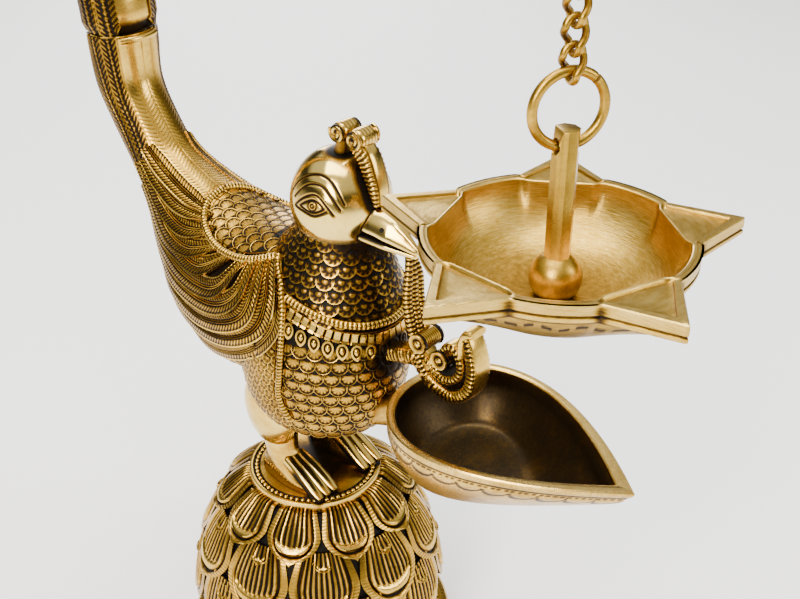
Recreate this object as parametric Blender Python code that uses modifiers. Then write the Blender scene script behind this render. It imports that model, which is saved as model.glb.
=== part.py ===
"""Brass standing oil lamp (samai): a peacock on a lotus base, with a leaf-shaped oil cup at its chest
and a five-point star dish hung by a chain from the tip of its tail.

Metres, +Z up, the bird faces -Y. The lamp is modelled about the axis of its base and then moved as a
whole, so that the origin is the middle of its footprint.
"""

import math

import bmesh
import bpy
from mathutils import Matrix, Vector

MM = 0.001

# --- fits -------------------------------------------------------------------------------------------
GAP = 0.3 * MM  # between faces that rest on each other
RUN = 0.3 * MM  # between a chain wire and what it hangs on

# --- lotus base -------------------------------------------------------------------------------------
BASE_HEIGHT = 74 * MM
BASE_RADIUS = 50 * MM  # the foot ring
BELL_RADIUS = 46.5 * MM  # the widest turn of the bell
SEAT_RADIUS = 24.5 * MM  # the flat top that carries the platform
BASE_WALL = 3.2 * MM
FOOT_HEIGHT = 5 * MM

# --- platform, stud and its nut ---------------------------------------------------------------------
PLATFORM_RADIUS = 23.5 * MM
PLATFORM_HEIGHT = 4 * MM
STUD_RADIUS = 4 * MM
STUD_HOLE_CLEARANCE = 0.4 * MM
WASHER_RADIUS = 9 * MM
WASHER_THICK = 1.6 * MM
NUT_FLATS = 14 * MM
NUT_THICK = 6 * MM
STUD_PAST_NUT = 1.5 * MM

# --- peacock ----------------------------------------------------------------------------------------
LEG_HEIGHT = 30 * MM  # platform to belly
LEG_RADIUS = 5.2 * MM
LEG_SPREAD = 11.5 * MM  # each leg's distance from the middle plane
FOOT_LENGTH = 30 * MM
BODY_HALF_WIDTH = 28 * MM
HEAD_RADIUS = 15.6 * MM
HEAD_HEIGHT = 110.2 * MM  # the head's centre above the platform
HEAD_FORWARD = 17.3 * MM  # the head's centre in front of the base axis
BEAK_LENGTH = 31 * MM
CREST_THICK = 9 * MM
VINE_THICK = 9 * MM
SCROLL_RADIUS = 10 * MM

# --- tail -------------------------------------------------------------------------------------------
TAIL_BACK = 89 * MM  # the upright tail behind the base axis
TAIL_JOINT_RISE = 140.7 * MM  # from the platform to the seat of the upper tail
TAIL_STRAIGHT = 35 * MM  # upright stretch above the joint
TAIL_RISE = 99 * MM  # from there to the top of the arch
TAIL_TOP_BACK = -3.5 * MM  # the top of the arch, behind the base axis
TAIL_HALF_WIDTH = 14 * MM
TAIL_HALF_DEPTH = 10.5 * MM
TAIL_TIP_SCALE = 0.30  # how slim the tip is, as a share of the root
TENON_RADIUS = 3.2 * MM
TENON_LENGTH = 11 * MM
TENON_CLEARANCE = 0.3 * MM
PIN_RADIUS = 1.4 * MM
PIN_CLEARANCE = 0.3 * MM
EYE_HOLE_RADIUS = 2.6 * MM  # the flat eye at the tail's tip
EYE_WALL = 1.8 * MM
EYE_THICK = 2.0 * MM
EYE_NECK = 7 * MM  # from the eye's centre to the end of the tail

# --- oil cup ----------------------------------------------------------------------------------------
CUP_RIM_RISE = 57.2 * MM  # from the platform to the rim
CUP_LENGTH = 81.5 * MM
CUP_HALF_WIDTH = 26.5 * MM
CUP_DEPTH = 21 * MM
CUP_WALL = 2.6 * MM
LEAF_SWELL = 1.5 * math.sqrt(3)  # brings the outline's greatest width to 1
CUP_FORWARD = 45 * MM  # the back of the rim, in front of the base axis
ARM_WIDTH = 10 * MM
ARM_HEIGHT = 11 * MM
ARM_RADIUS = 4.2 * MM  # the round tang inside the chest
ARM_DEPTH = 10 * MM

# --- hanging star dish ------------------------------------------------------------------------------
HANG_FORWARD = 95.4 * MM  # the hanging line, in front of the base axis
DISH_RIM_RISE = 125.9 * MM  # from the platform to the rim
DISH_DEPTH = 20.5 * MM
DISH_RADIUS = 51 * MM  # the points
BOWL_RADIUS = 36 * MM  # the round bowl between them
DISH_WALL = 2.6 * MM
DISH_POINTS = 5
POINT_HALF_ANGLE = math.radians(19)
POINT_TURN = math.radians(34)
STEM_WIDTH = 6.4 * MM
STEM_BALL_RADIUS = 7 * MM
STEM_EYE_RADIUS = 2.1 * MM
STEM_TENON_RADIUS = 2.5 * MM
DISH_NUT_FLATS = 9 * MM
DISH_NUT_THICK = 3 * MM

# --- ring and chain ---------------------------------------------------------------------------------
RING_RADIUS = 9.6 * MM  # centre of the wire
RING_WIRE = 1.4 * MM
RING_ABOVE_RIM = 23.8 * MM  # the ring's lowest wire centre above the dish's rim
RING_SPLIT = math.radians(5)
LINKS = 9
LINK_LENGTH = 9.1 * MM  # between the wire centres of its two ends
LINK_HALF_WIDTH = 2.55 * MM
LINK_WIRE = 1.0 * MM
HANG_TURN = math.radians(30)  # the slack twist of the chain, from its top to the ring

# --- worked out -------------------------------------------------------------------------------------
PLATFORM_TOP = BASE_HEIGHT + GAP + PLATFORM_HEIGHT
BELLY_HEIGHT = PLATFORM_TOP + LEG_HEIGHT
HEAD_CENTRE = Vector((0, -HEAD_FORWARD, PLATFORM_TOP + HEAD_HEIGHT))
TAIL_JOINT_HEIGHT = PLATFORM_TOP + TAIL_JOINT_RISE
CUP_RIM_HEIGHT = PLATFORM_TOP + CUP_RIM_RISE
DISH_RIM_HEIGHT = PLATFORM_TOP + DISH_RIM_RISE
RING_BOTTOM = DISH_RIM_HEIGHT + RING_ABOVE_RIM
RING_TOP = RING_BOTTOM + 2 * RING_RADIUS
LINK_PITCH = LINK_LENGTH - 2 * LINK_WIRE - RUN
CHAIN_BOTTOM = RING_TOP - RING_WIRE - LINK_WIRE - RUN
CHAIN_TOP = CHAIN_BOTTOM + LINK_LENGTH + (LINKS - 1) * LINK_PITCH
EYE_HEIGHT = CHAIN_TOP + EYE_HOLE_RADIUS - LINK_WIRE - RUN
FRONT_REACH = HANG_FORWARD + DISH_RADIUS * max(
    -math.sin(POINT_TURN + math.tau * n / DISH_POINTS) for n in range(DISH_POINTS)
)
BACK_REACH = TAIL_BACK + TAIL_HALF_DEPTH
SHIFT = Vector((0, (FRONT_REACH - BACK_REACH) / 2, 0))  # base axis from the footprint's middle


def clear_scene():
    for thing in list(bpy.data.objects):
        bpy.data.objects.remove(thing, do_unlink=True)


def collection(name):
    made = bpy.data.collections.new(name)
    bpy.context.scene.collection.children.link(made)
    return made


def brass(name, colour, roughness):
    """A brass finish for one piece."""
    made = bpy.data.materials.new(name)
    made.use_nodes = True
    shader = made.node_tree.nodes["Principled BSDF"]
    shader.inputs["Base Color"].default_value = (*colour, 1)
    shader.inputs["Metallic"].default_value = 1.0
    shader.inputs["Roughness"].default_value = roughness
    return made


def add(name, mesh, origin=(0, 0, 0)):
    """An object of the lamp, from a mesh built about origin."""
    thing = bpy.data.objects.new(name, mesh)
    lamp.objects.link(thing)
    thing.location = origin
    return thing


def smooth(thing, degrees=35):
    thing.data.shade_smooth()
    thing.data.set_sharp_from_angle(angle=math.radians(degrees))


def finish(thing, colour, roughness):
    thing.data.materials.clear()
    thing.data.materials.append(brass(thing.name + "_brass", colour, roughness))
    smooth(thing)
    return thing


def hung(thing, height):
    """The same piece with its origin on the hanging line, where it turns."""
    pivot = Vector((0, -HANG_FORWARD, height))
    thing.data.transform(Matrix.Translation(thing.location - pivot))
    thing.location = pivot
    return thing


def baked(thing):
    """The same piece with its modifiers applied and its placing in its mesh, as a closed mesh."""
    graph = bpy.context.evaluated_depsgraph_get()
    mesh = bpy.data.meshes.new_from_object(thing.evaluated_get(graph))
    mesh.transform(thing.matrix_world)
    form = bmesh.new()
    form.from_mesh(mesh)
    bmesh.ops.remove_doubles(form, verts=form.verts, dist=1e-6)
    bmesh.ops.recalc_face_normals(form, faces=form.faces)
    form.to_mesh(mesh)
    form.free()
    name = thing.name
    bpy.data.objects.remove(thing, do_unlink=True)
    return add(name, mesh)


def combine(base, others, operation):
    """One closed body from base and the others, which are used up."""
    for other in others:
        step = base.modifiers.new(operation.lower(), "BOOLEAN")
        step.operation = operation
        step.object = other
        step.solver = "EXACT"
        bpy.context.view_layer.update()
        base = baked(base)
        bpy.data.objects.remove(other, do_unlink=True)
    return base


def joined(base, *others):
    return combine(base, others, "UNION")


def cut(base, *others):
    return combine(base, others, "DIFFERENCE")


def bmesh_object(name, form, origin=(0, 0, 0)):
    mesh = bpy.data.meshes.new(name)
    form.to_mesh(mesh)
    form.free()
    return add(name, mesh, origin)


def rod(name, radius, start, end, sides=16, end_radius=None):
    """A solid round bar, or a taper, between two points."""
    start, end = Vector(start), Vector(end)
    form = bmesh.new()
    bmesh.ops.create_cone(
        form,
        cap_ends=True,
        segments=sides,
        radius1=radius,
        radius2=radius if end_radius is None else end_radius,
        depth=(end - start).length,
    )
    turn = Vector((0, 0, 1)).rotation_difference(end - start).to_matrix().to_4x4()
    bmesh.ops.transform(form, matrix=Matrix.Translation((start + end) / 2) @ turn, verts=form.verts)
    return bmesh_object(name, form)


def hexagon(name, flats, bottom, thick, centre=(0, 0)):
    """A hexagonal nut blank, measured across its flats."""
    low = (centre[0], centre[1], bottom)
    high = (centre[0], centre[1], bottom + thick)
    return rod(name, flats / 2 / math.cos(math.pi / 6), low, high, sides=6)


def ball(name, centre, radii, rings=12, sides=20):
    form = bmesh.new()
    bmesh.ops.create_uvsphere(form, u_segments=sides, v_segments=rings, radius=1)
    bmesh.ops.scale(form, vec=radii, verts=form.verts)
    bmesh.ops.translate(form, vec=centre, verts=form.verts)
    return bmesh_object(name, form)


def box(name, size, centre):
    form = bmesh.new()
    bmesh.ops.create_cube(form, size=1)
    bmesh.ops.scale(form, vec=size, verts=form.verts)
    bmesh.ops.translate(form, vec=centre, verts=form.verts)
    return bmesh_object(name, form)


def turned(name, profile, centre=(0, 0), steps=32):
    """A solid turned about a vertical axis from a profile of (radius, height), top to bottom outside."""
    mesh = bpy.data.meshes.new(name)
    points = [(radius, 0, height) for radius, height in profile]
    mesh.from_pydata(points, [(n, n + 1) for n in range(len(points) - 1)], [])
    thing = add(name, mesh, (centre[0], centre[1], 0))
    lathe = thing.modifiers.new("lathe", "SCREW")
    lathe.steps = lathe.render_steps = steps
    lathe.use_merge_vertices = True
    lathe.merge_threshold = 1e-5
    return thing


def plate(name, outline, thick):
    """A flat shape in the bird's middle plane, from points (y, z), with its thickness across it."""
    curve = bpy.data.curves.new(name, "CURVE")
    curve.dimensions = "2D"
    curve.fill_mode = "BOTH"
    curve.extrude = thick / 2
    curve.resolution_u = 4
    curve.render_resolution_u = 0
    spline = curve.splines.new("BEZIER")
    spline.bezier_points.add(len(outline) - 1)
    for point, (y, z) in zip(spline.bezier_points, outline):
        point.co = (y, z, 0)
        point.handle_left_type = point.handle_right_type = "AUTO"
    spline.use_cyclic_u = True
    thing = bpy.data.objects.new(name, curve)
    lamp.objects.link(thing)
    # the curve's own x and y become the lamp's y and z
    thing.matrix_world = Matrix(((0, 0, 1, 0), (1, 0, 0, 0), (0, 1, 0, 0), (0, 0, 0, 1)))
    bpy.context.view_layer.update()
    return baked(thing)


def eased(stations, steps):
    """Stations, each a tuple of numbers, read along a smooth curve through them."""
    out = []
    last = len(stations) - 1
    for n in range(last):
        before = stations[max(n - 1, 0)]
        here, there = stations[n], stations[n + 1]
        after = stations[min(n + 2, last)]
        for step in range(steps):
            t = step / steps
            out.append(
                tuple(
                    0.5 * (2 * b + (c - a) * t + (2 * a - 5 * b + 4 * c - d) * t**2
                           + (3 * b - 3 * c + d - a) * t**3)
                    for a, b, c, d in zip(before, here, there, after)
                )
            )
    return out + [stations[last]]


def skinned(name, rings):
    """A closed skin over rings of equally many points, with flat ends."""
    form = bmesh.new()
    rows = [[form.verts.new(point) for point in ring] for ring in rings]
    for row, following in zip(rows, rows[1:]):
        for n in range(len(row)):
            after = (n + 1) % len(row)
            form.faces.new((row[n], row[after], following[after], following[n]))
    form.faces.new(rows[0])
    form.faces.new(rows[-1])
    bmesh.ops.recalc_face_normals(form, faces=form.faces)
    return bmesh_object(name, form)


def oval(y, z, half_width, half_depth, lean, sides):
    """A ring of points about (y, z) in the middle plane; lean turns it from level towards the tail."""
    across = Vector((1, 0, 0))
    along = Vector((0, math.cos(lean), math.sin(lean)))
    centre = Vector((0, y, z))
    turns = [math.tau * n / sides for n in range(sides)]
    return [centre + across * half_width * math.cos(a) + along * half_depth * math.sin(a) for a in turns]


def limb(name, stations, sides=20, steps=3):
    """A soft form through ovals, each given as y, z, half width, half depth (mm) and lean (degrees)."""
    read = eased(stations, steps)
    rings = [oval(y * MM, z * MM, w * MM, d * MM, math.radians(lean), sides) for y, z, w, d, lean in read]
    return skinned(name, rings)


def wire(name, points, radius, origin, cyclic=True, sides=8):
    """A round wire through points, kept about its joint's point."""
    curve = bpy.data.curves.new(name, "CURVE")
    curve.dimensions = "3D"
    curve.bevel_depth = radius
    curve.bevel_resolution = sides // 4
    curve.use_fill_caps = True
    curve.render_resolution_u = 0
    spline = curve.splines.new("POLY")
    spline.points.add(len(points) - 1)
    for point, place in zip(spline.points, points):
        point.co = (*(Vector(place) - Vector(origin)), 1)
    spline.use_cyclic_u = cyclic
    thing = bpy.data.objects.new(name, curve)
    lamp.objects.link(thing)
    bpy.context.view_layer.update()
    made = baked(thing)
    made.location = origin
    return made


# --- base -------------------------------------------------------------------------------------------
def bell_profile(inset):
    """The bell's turn from the seat down to the foot, as (radius, height); inset draws it inwards."""
    turns = [  # share of the way out from the seat to the bell's widest, share of the height
        (0.0, 1.0), (0.27, 0.93), (0.58, 0.81), (0.82, 0.65), (0.97, 0.49), (1.0, 0.35), (0.965, 0.22),
        (0.90, 0.13),
    ]
    out = SEAT_RADIUS + 0.5 * inset
    return [
        (out + (BELL_RADIUS - inset - out) * share, (BASE_HEIGHT - inset) * high)
        for share, high in eased(turns, 2)
    ]


def make_base():
    hole = STUD_RADIUS + STUD_HOLE_CLEARANCE
    neck = bell_profile(0)[-1][0]
    outline = [(hole, BASE_HEIGHT)]
    outline += bell_profile(0)
    outline += [(neck + 1 * MM, FOOT_HEIGHT * 1.35), (BASE_RADIUS - 0.8 * MM, FOOT_HEIGHT)]
    outline += [(BASE_RADIUS, FOOT_HEIGHT - 0.8 * MM), (BASE_RADIUS, 0), (neck - BASE_WALL, 0)]
    outline += reversed(bell_profile(BASE_WALL))
    outline += [(hole, BASE_HEIGHT - BASE_WALL), (hole, BASE_HEIGHT)]
    return baked(turned("lotus_base", outline, steps=40))


def make_fasteners():
    hole = STUD_RADIUS + STUD_HOLE_CLEARANCE
    top = BASE_HEIGHT - BASE_WALL - GAP
    washer = baked(turned("base_washer", [
        (hole, top), (WASHER_RADIUS, top), (WASHER_RADIUS, top - WASHER_THICK),
        (hole, top - WASHER_THICK), (hole, top)], steps=24))
    nut_top = top - WASHER_THICK - GAP
    nut = hexagon("base_nut", NUT_FLATS, nut_top - NUT_THICK, NUT_THICK)
    bore = rod("bore", STUD_RADIUS + GAP, (0, 0, 0), (0, 0, BASE_HEIGHT))
    return washer, cut(nut, bore), nut_top - NUT_THICK - STUD_PAST_NUT


# --- bird -------------------------------------------------------------------------------------------
def make_chest():
    """Neck and chest, from the belly up into the head: level ovals."""
    belly = BELLY_HEIGHT / MM
    wide = BODY_HALF_WIDTH / MM
    neck = -HEAD_CENTRE.y / MM
    top = HEAD_CENTRE.z / MM - 6
    rise = top - belly
    return limb("chest", [
        (-5, belly - 2.6, 12, 13, 0),
        (-6, belly - 1, 18.5, 20.5, 0),
        (-6, belly + 0.08 * rise, wide - 4.5, 27, 0),
        (-6.5, belly + 0.24 * rise, wide - 2.5, 30.5, 0),
        (-7, belly + 0.42 * rise, wide - 1.5, 32, 0),
        (-8, belly + 0.60 * rise, wide - 4, 29.5, 0),
        (-neck * 0.72, belly + 0.78 * rise, 18.5, 22, 0),
        (-neck * 0.88, belly + 0.90 * rise, 15, 16.5, 0),
        (-neck, top, 13, 13, 0),
    ], sides=20, steps=2)


def make_back():
    """Wings, back and tail root: ovals that lean from the shoulders back and up into the tail stub."""
    wide = BODY_HALF_WIDTH / MM
    tail = TAIL_BACK / MM
    belly = BELLY_HEIGHT / MM
    rise = TAIL_JOINT_HEIGHT / MM - belly
    stations = [  # back, up from the belly as a share of the rise, half width, half depth, lean
        (-14, 0.368, 10, 14, -78),
        (-9, 0.350, wide - 5, 24, -74),
        (2, 0.334, wide + 1, 30, -70),
        (0.18 * tail, 0.334, wide + 1.5, 31, -62),
        (0.37 * tail, 0.375, wide - 2, 26.5, -52),
        (0.52 * tail, 0.450, wide - 8, 20.5, -43),
        (0.65 * tail, 0.535, wide - 13.5, 14.5, -35),
        (0.775 * tail, 0.620, 11.5, 10.5, -28),
        (0.88 * tail, 0.730, 11, 10, -16),
        (0.95 * tail, 0.837, 11.5, 10, -6),
        (tail - 3.5, 0.960, 12.5, 10, 0),
        (tail - 3.5, 1.0, 12.5, 10, 0),
    ]
    return limb("back", [(y, belly + up * rise, w, d, lean) for y, up, w, d, lean in stations], steps=2)


def make_thigh(side):
    centre = (side * LEG_SPREAD * 1.15, 4.5 * MM, BELLY_HEIGHT + 2 * MM)
    return ball("thigh", centre, (9.5 * MM, 12 * MM, 14 * MM), 10, 14)


def make_leg(side):
    top = (side * LEG_SPREAD, 5 * MM, BELLY_HEIGHT + 8 * MM)
    ankle = (side * LEG_SPREAD, 6 * MM, PLATFORM_TOP + 3 * MM)
    leg = rod("leg", LEG_RADIUS * 1.5, top, ankle, end_radius=LEG_RADIUS * 0.85)
    toes = Vector((side * LEG_SPREAD * 0.92, 6 * MM - FOOT_LENGTH * 0.7, PLATFORM_TOP + 1.2 * MM))
    heel = Vector((side * LEG_SPREAD, 6 * MM + FOOT_LENGTH * 0.3, PLATFORM_TOP + 2.2 * MM))
    foot = rod("foot", 4.6 * MM, heel, toes, sides=10, end_radius=3.4 * MM)
    shin = rod("shin", 5.4 * MM, (side * LEG_SPREAD, 8 * MM, PLATFORM_TOP + 12 * MM), toes,
               sides=12, end_radius=3.0 * MM)
    return leg, foot, shin


def make_head():
    skull = ball("skull", HEAD_CENTRE, (HEAD_RADIUS, HEAD_RADIUS, HEAD_RADIUS * 1.06), 14, 22)
    root = HEAD_CENTRE + Vector((0, -HEAD_RADIUS * 0.62, -0.8 * MM))
    tip = HEAD_CENTRE + Vector((0, -BEAK_LENGTH, -HEAD_RADIUS * 0.58))
    beak = rod("beak", 9.5 * MM, root, tip, sides=14, end_radius=1.3 * MM)
    y, z = HEAD_CENTRE.y, HEAD_CENTRE.z
    top = HEAD_RADIUS * 1.06
    crest = plate("crest", [
        (y + 5 * MM, z + top * 0.74),
        (y + 4 * MM, z + top + 2 * MM),
        (y + 2 * MM, z + top + 7.5 * MM),
        (y - 3.5 * MM, z + top + 8.5 * MM),
        (y - 8 * MM, z + top + 5.5 * MM),
        (y - 12 * MM, z + top + 3 * MM),
        (y - 14.5 * MM, z + top * 0.80),
        (y - 16.8 * MM, z + top * 0.42),
        (y - 12 * MM, z + top * 0.30),
    ], CREST_THICK)
    return skull, beak, crest


def make_vine():
    """The garland from the beak to the scroll in front of the chest."""
    beak_y = HEAD_CENTRE.y - BEAK_LENGTH
    beak_z = HEAD_CENTRE.z - HEAD_RADIUS * 0.5
    scroll = Vector((0, beak_y - 13 * MM, beak_z - 33 * MM))
    strand = rod("strand", 3.6 * MM, (0, beak_y + 3 * MM, beak_z), (0, beak_y + 1 * MM, scroll.z - 2 * MM),
                 sides=12, end_radius=5 * MM)
    half = VINE_THICK / 2
    disc = rod("scroll", SCROLL_RADIUS, scroll - Vector((half, 0, 0)), scroll + Vector((half, 0, 0)), sides=24)
    root = rod("vine_root", 5 * MM, (0, scroll.y, scroll.z - 1 * MM), (0, -30 * MM, scroll.z - 6 * MM), sides=12)
    bridge = box("bridge", (VINE_THICK * 0.9, 12 * MM, 12 * MM), (0, beak_y - 3 * MM, scroll.z))
    return strand, disc, root, bridge


def arm_line():
    """The cup arm's middle line: where it leaves the chest, and where it meets the cup."""
    chest = Vector((0, -29 * MM, CUP_RIM_HEIGHT - 19 * MM))
    cup = Vector((0, -CUP_FORWARD - 3 * MM, CUP_RIM_HEIGHT - 11 * MM))
    return chest, cup


def tail_pin_height():
    return TAIL_JOINT_HEIGHT - TENON_LENGTH * 0.5


def make_bird(stud_bottom):
    bird = make_chest()
    bird.name = "peacock"
    platform = baked(turned("platform", [
        (0, PLATFORM_TOP), (PLATFORM_RADIUS - 1.2 * MM, PLATFORM_TOP),
        (PLATFORM_RADIUS, PLATFORM_TOP - 0.8 * MM), (PLATFORM_RADIUS, BASE_HEIGHT + GAP),
        (STUD_RADIUS, BASE_HEIGHT + GAP), (STUD_RADIUS, stud_bottom), (0, stud_bottom)], steps=32))
    pieces = [make_back(), *make_head(), *make_vine()]
    for side in (-1, 1):
        pieces += [make_thigh(side), *make_leg(side)]
    bird = joined(bird, *pieces, platform)

    chest, cup = arm_line()
    line = (cup - chest).normalized()
    tang_end = chest - line * ARM_DEPTH
    arm_bore = rod("arm_bore", ARM_RADIUS + TENON_CLEARANCE, tang_end - line * GAP, chest + line * 12 * MM)
    seat = rod("arm_seat", ARM_WIDTH, chest, chest + line * 12 * MM, sides=24)
    middle = chest - line * ARM_DEPTH * 0.5
    wide = Vector((BODY_HALF_WIDTH + 8 * MM, 0, 0))
    cup_pin_bore = rod("cup_pin_bore", PIN_RADIUS + PIN_CLEARANCE, middle - wide, middle + wide, sides=12)
    top = TAIL_JOINT_HEIGHT
    socket_y = TAIL_BACK - 3.5 * MM
    mortise = rod("mortise", TENON_RADIUS + TENON_CLEARANCE,
                  (0, socket_y, top - TENON_LENGTH - GAP), (0, socket_y, top + 5 * MM))
    pin_z = tail_pin_height()
    tail_pin_bore = rod("tail_pin_bore", PIN_RADIUS + PIN_CLEARANCE,
                        (-30 * MM, socket_y, pin_z), (30 * MM, socket_y, pin_z), sides=12)
    return cut(bird, seat, arm_bore, cup_pin_bore, mortise, tail_pin_bore)


# --- upper tail -------------------------------------------------------------------------------------
def tail_line(steps=22):
    """The upper tail's middle line: an upright stretch, then an arch of two quarter ellipses."""
    root = Vector((0, TAIL_BACK - 3.5 * MM, TAIL_JOINT_HEIGHT + GAP))
    spring = TAIL_JOINT_HEIGHT + TAIL_STRAIGHT
    end_height = EYE_HEIGHT + EYE_NECK * 0.8
    end_forward = HANG_FORWARD - EYE_NECK * 0.6
    end = math.pi - math.asin((end_height - spring) / TAIL_RISE)
    back = TAIL_BACK - TAIL_TOP_BACK
    front = (end_forward + TAIL_TOP_BACK) / -math.cos(end)
    points = [root, Vector((0, TAIL_BACK - 1 * MM, (root.z + spring) / 2))]
    for n in range(steps + 1):
        turn = end * n / steps
        reach = back if turn < math.pi / 2 else front
        points.append(Vector((0, TAIL_TOP_BACK + reach * math.cos(turn), spring + TAIL_RISE * math.sin(turn))))
    return points


def make_tail():
    points = tail_line()
    rings = []
    sides = 16
    for n, point in enumerate(points):
        ahead = points[min(n + 1, len(points) - 1)]
        behind = points[max(n - 1, 0)]
        along = (ahead - behind).normalized() if n else Vector((0, 0, 1))
        out = Vector((0, along.z, -along.y))
        share = n / (len(points) - 1)
        size = 1 + (TAIL_TIP_SCALE - 1) * share**1.4
        turns = [math.tau * k / sides for k in range(sides)]
        rings.append([
            point + Vector((TAIL_HALF_WIDTH * size * math.cos(a), 0, 0)) + out * TAIL_HALF_DEPTH * size * math.sin(a)
            for a in turns
        ])
    tail = skinned("tail_arch", rings)
    root = points[0]
    tenon = rod("tenon", TENON_RADIUS, root + Vector((0, 0, 3 * MM)), root - Vector((0, 0, TENON_LENGTH)))
    eye = Vector((0, -HANG_FORWARD, EYE_HEIGHT))
    half = Vector((EYE_THICK / 2, 0, 0))
    boss = rod("eye_boss", EYE_HOLE_RADIUS + EYE_WALL, eye - half, eye + half, sides=24)
    neck = rod("neck", EYE_THICK, points[-3], eye + (points[-1] - eye) * 0.3, sides=12, end_radius=EYE_THICK / 2)
    hole = rod("eye_hole", EYE_HOLE_RADIUS, eye - half * 3, eye + half * 3, sides=20)
    pin_z = tail_pin_height()
    pin_bore = rod("pin_bore", PIN_RADIUS + PIN_CLEARANCE, (-30 * MM, root.y, pin_z), (30 * MM, root.y, pin_z),
                   sides=12)
    return cut(joined(tail, tenon, boss, neck), hole, pin_bore)


def make_pins():
    pin_z = tail_pin_height()
    y = TAIL_BACK - 3.5 * MM
    reach = 12 * MM
    tail_pin = rod("tail_pin", PIN_RADIUS, (-reach, y, pin_z), (reach, y, pin_z), sides=12)
    chest, cup = arm_line()
    middle = chest - (cup - chest).normalized() * ARM_DEPTH * 0.5
    wide = Vector((16.5 * MM, 0, 0))
    cup_pin = rod("cup_pin", PIN_RADIUS, middle - wide, middle + wide, sides=12)
    return tail_pin, cup_pin


# --- oil cup ----------------------------------------------------------------------------------------
def leaf(side_in, tip_in, height, sides=32):
    """The cup's outline at one height: round at the back and pointed in front, drawn in at its sides
    and back, and by tip_in at its point."""
    out = []
    length = CUP_LENGTH - side_in - tip_in
    for n in range(sides):
        turn = math.tau * n / sides
        back = (1 - math.cos(turn)) / 2  # 0 at the point, 1 at the back
        width = (CUP_HALF_WIDTH - side_in) * LEAF_SWELL * back * math.sqrt(1 - back)
        y = -(CUP_FORWARD + side_in) - length * (1 - back)
        out.append(Vector((math.copysign(width, math.sin(turn)), y, height)))
    return out


def make_cup():
    """A leaf-shaped dish, its keel rising to the point, with its arm and its round tang."""
    rim = CUP_RIM_HEIGHT
    floor = rim - CUP_DEPTH
    wall = CUP_WALL
    tip = wall * 2.4  # the two sides meet at the point, so the hollow stops short of it
    outer = skinned("oil_cup", [
        leaf(0, 0, rim),
        leaf(0.6 * MM, 5 * MM, rim - 0.30 * CUP_DEPTH),
        leaf(5 * MM, 20 * MM, rim - 0.75 * CUP_DEPTH),
        leaf(11 * MM, 34 * MM, floor),
    ])
    hollow = skinned("hollow", [
        leaf(wall, tip, rim + 1 * MM),
        leaf(0.6 * MM + wall, 5 * MM + tip, rim - 0.30 * CUP_DEPTH),
        leaf(5 * MM + wall, 20 * MM + tip, rim - 0.72 * CUP_DEPTH),
        leaf(11 * MM + wall, 34 * MM + tip, floor + wall),
    ])
    chest, cup = arm_line()
    line = (cup - chest).normalized()
    arm = rod("arm", ARM_WIDTH / 2 / math.cos(math.pi / 8), chest + line * GAP, cup, sides=8)
    tang = rod("tang", ARM_RADIUS, chest + line * 2 * MM, chest - line * ARM_DEPTH)
    middle = chest - line * ARM_DEPTH * 0.5
    wide = Vector((20 * MM, 0, 0))
    pin_bore = rod("pin_bore", PIN_RADIUS + PIN_CLEARANCE, middle - wide, middle + wide, sides=12)
    return cut(joined(outer, arm, tang), hollow, pin_bore)


# --- hanging dish -----------------------------------------------------------------------------------
def star(radius_in, height, arc=3):
    """The dish's outline at one height: a round bowl with pointed spouts."""
    out = []
    for k in range(DISH_POINTS):
        middle = POINT_TURN + math.tau * k / DISH_POINTS
        bowl, tip = BOWL_RADIUS - radius_in, DISH_RADIUS - radius_in * 1.9
        out.append((tip, middle))
        start = middle + POINT_HALF_ANGLE
        gap = math.tau / DISH_POINTS - 2 * POINT_HALF_ANGLE
        out += [(bowl, start + gap * n / arc) for n in range(arc + 1)]
    return [Vector((r * math.cos(a), -HANG_FORWARD + r * math.sin(a), height)) for r, a in out]


def dish_level(share, drawn, height):
    """The outline drawn down towards a round floor: share 0 is the rim's star, 1 the floor's circle."""
    rim = star(drawn, height)
    centre = Vector((0, -HANG_FORWARD, height))
    out = []
    for point in rim:
        arm = point - centre
        bowl = (BOWL_RADIUS - drawn) * math.sqrt(max(1 - share**2 * 0.86, 0))
        reach = min(arm.length, bowl) + max(arm.length - (BOWL_RADIUS - drawn), 0) * max(1 - share * 1.35, 0)
        out.append(centre + arm.normalized() * reach)
    return out


def make_dish():
    rim = DISH_RIM_HEIGHT
    depth = DISH_DEPTH
    shares = (0, 0.22, 0.5, 0.78, 1)
    wall = DISH_WALL
    outer = skinned("star_dish", [dish_level(s, 0, rim - depth * s) for s in shares])
    inner_levels = [dish_level(0, wall, rim + 1 * MM)]
    inner_levels += [dish_level(s, wall, rim - (depth - wall) * s) for s in shares]
    hollow = skinned("hollow", inner_levels)
    hole = rod("tenon_hole", STEM_TENON_RADIUS + TENON_CLEARANCE,
               (0, -HANG_FORWARD, rim - depth - 3 * MM), (0, -HANG_FORWARD, rim))
    return cut(outer, hollow, hole)


def hang_frame(turn):
    """Directions across the chain at one place: along the ring's plane, and square to it."""
    return Vector((math.cos(turn), -math.sin(turn), 0)), Vector((math.sin(turn), math.cos(turn), 0))


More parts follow.
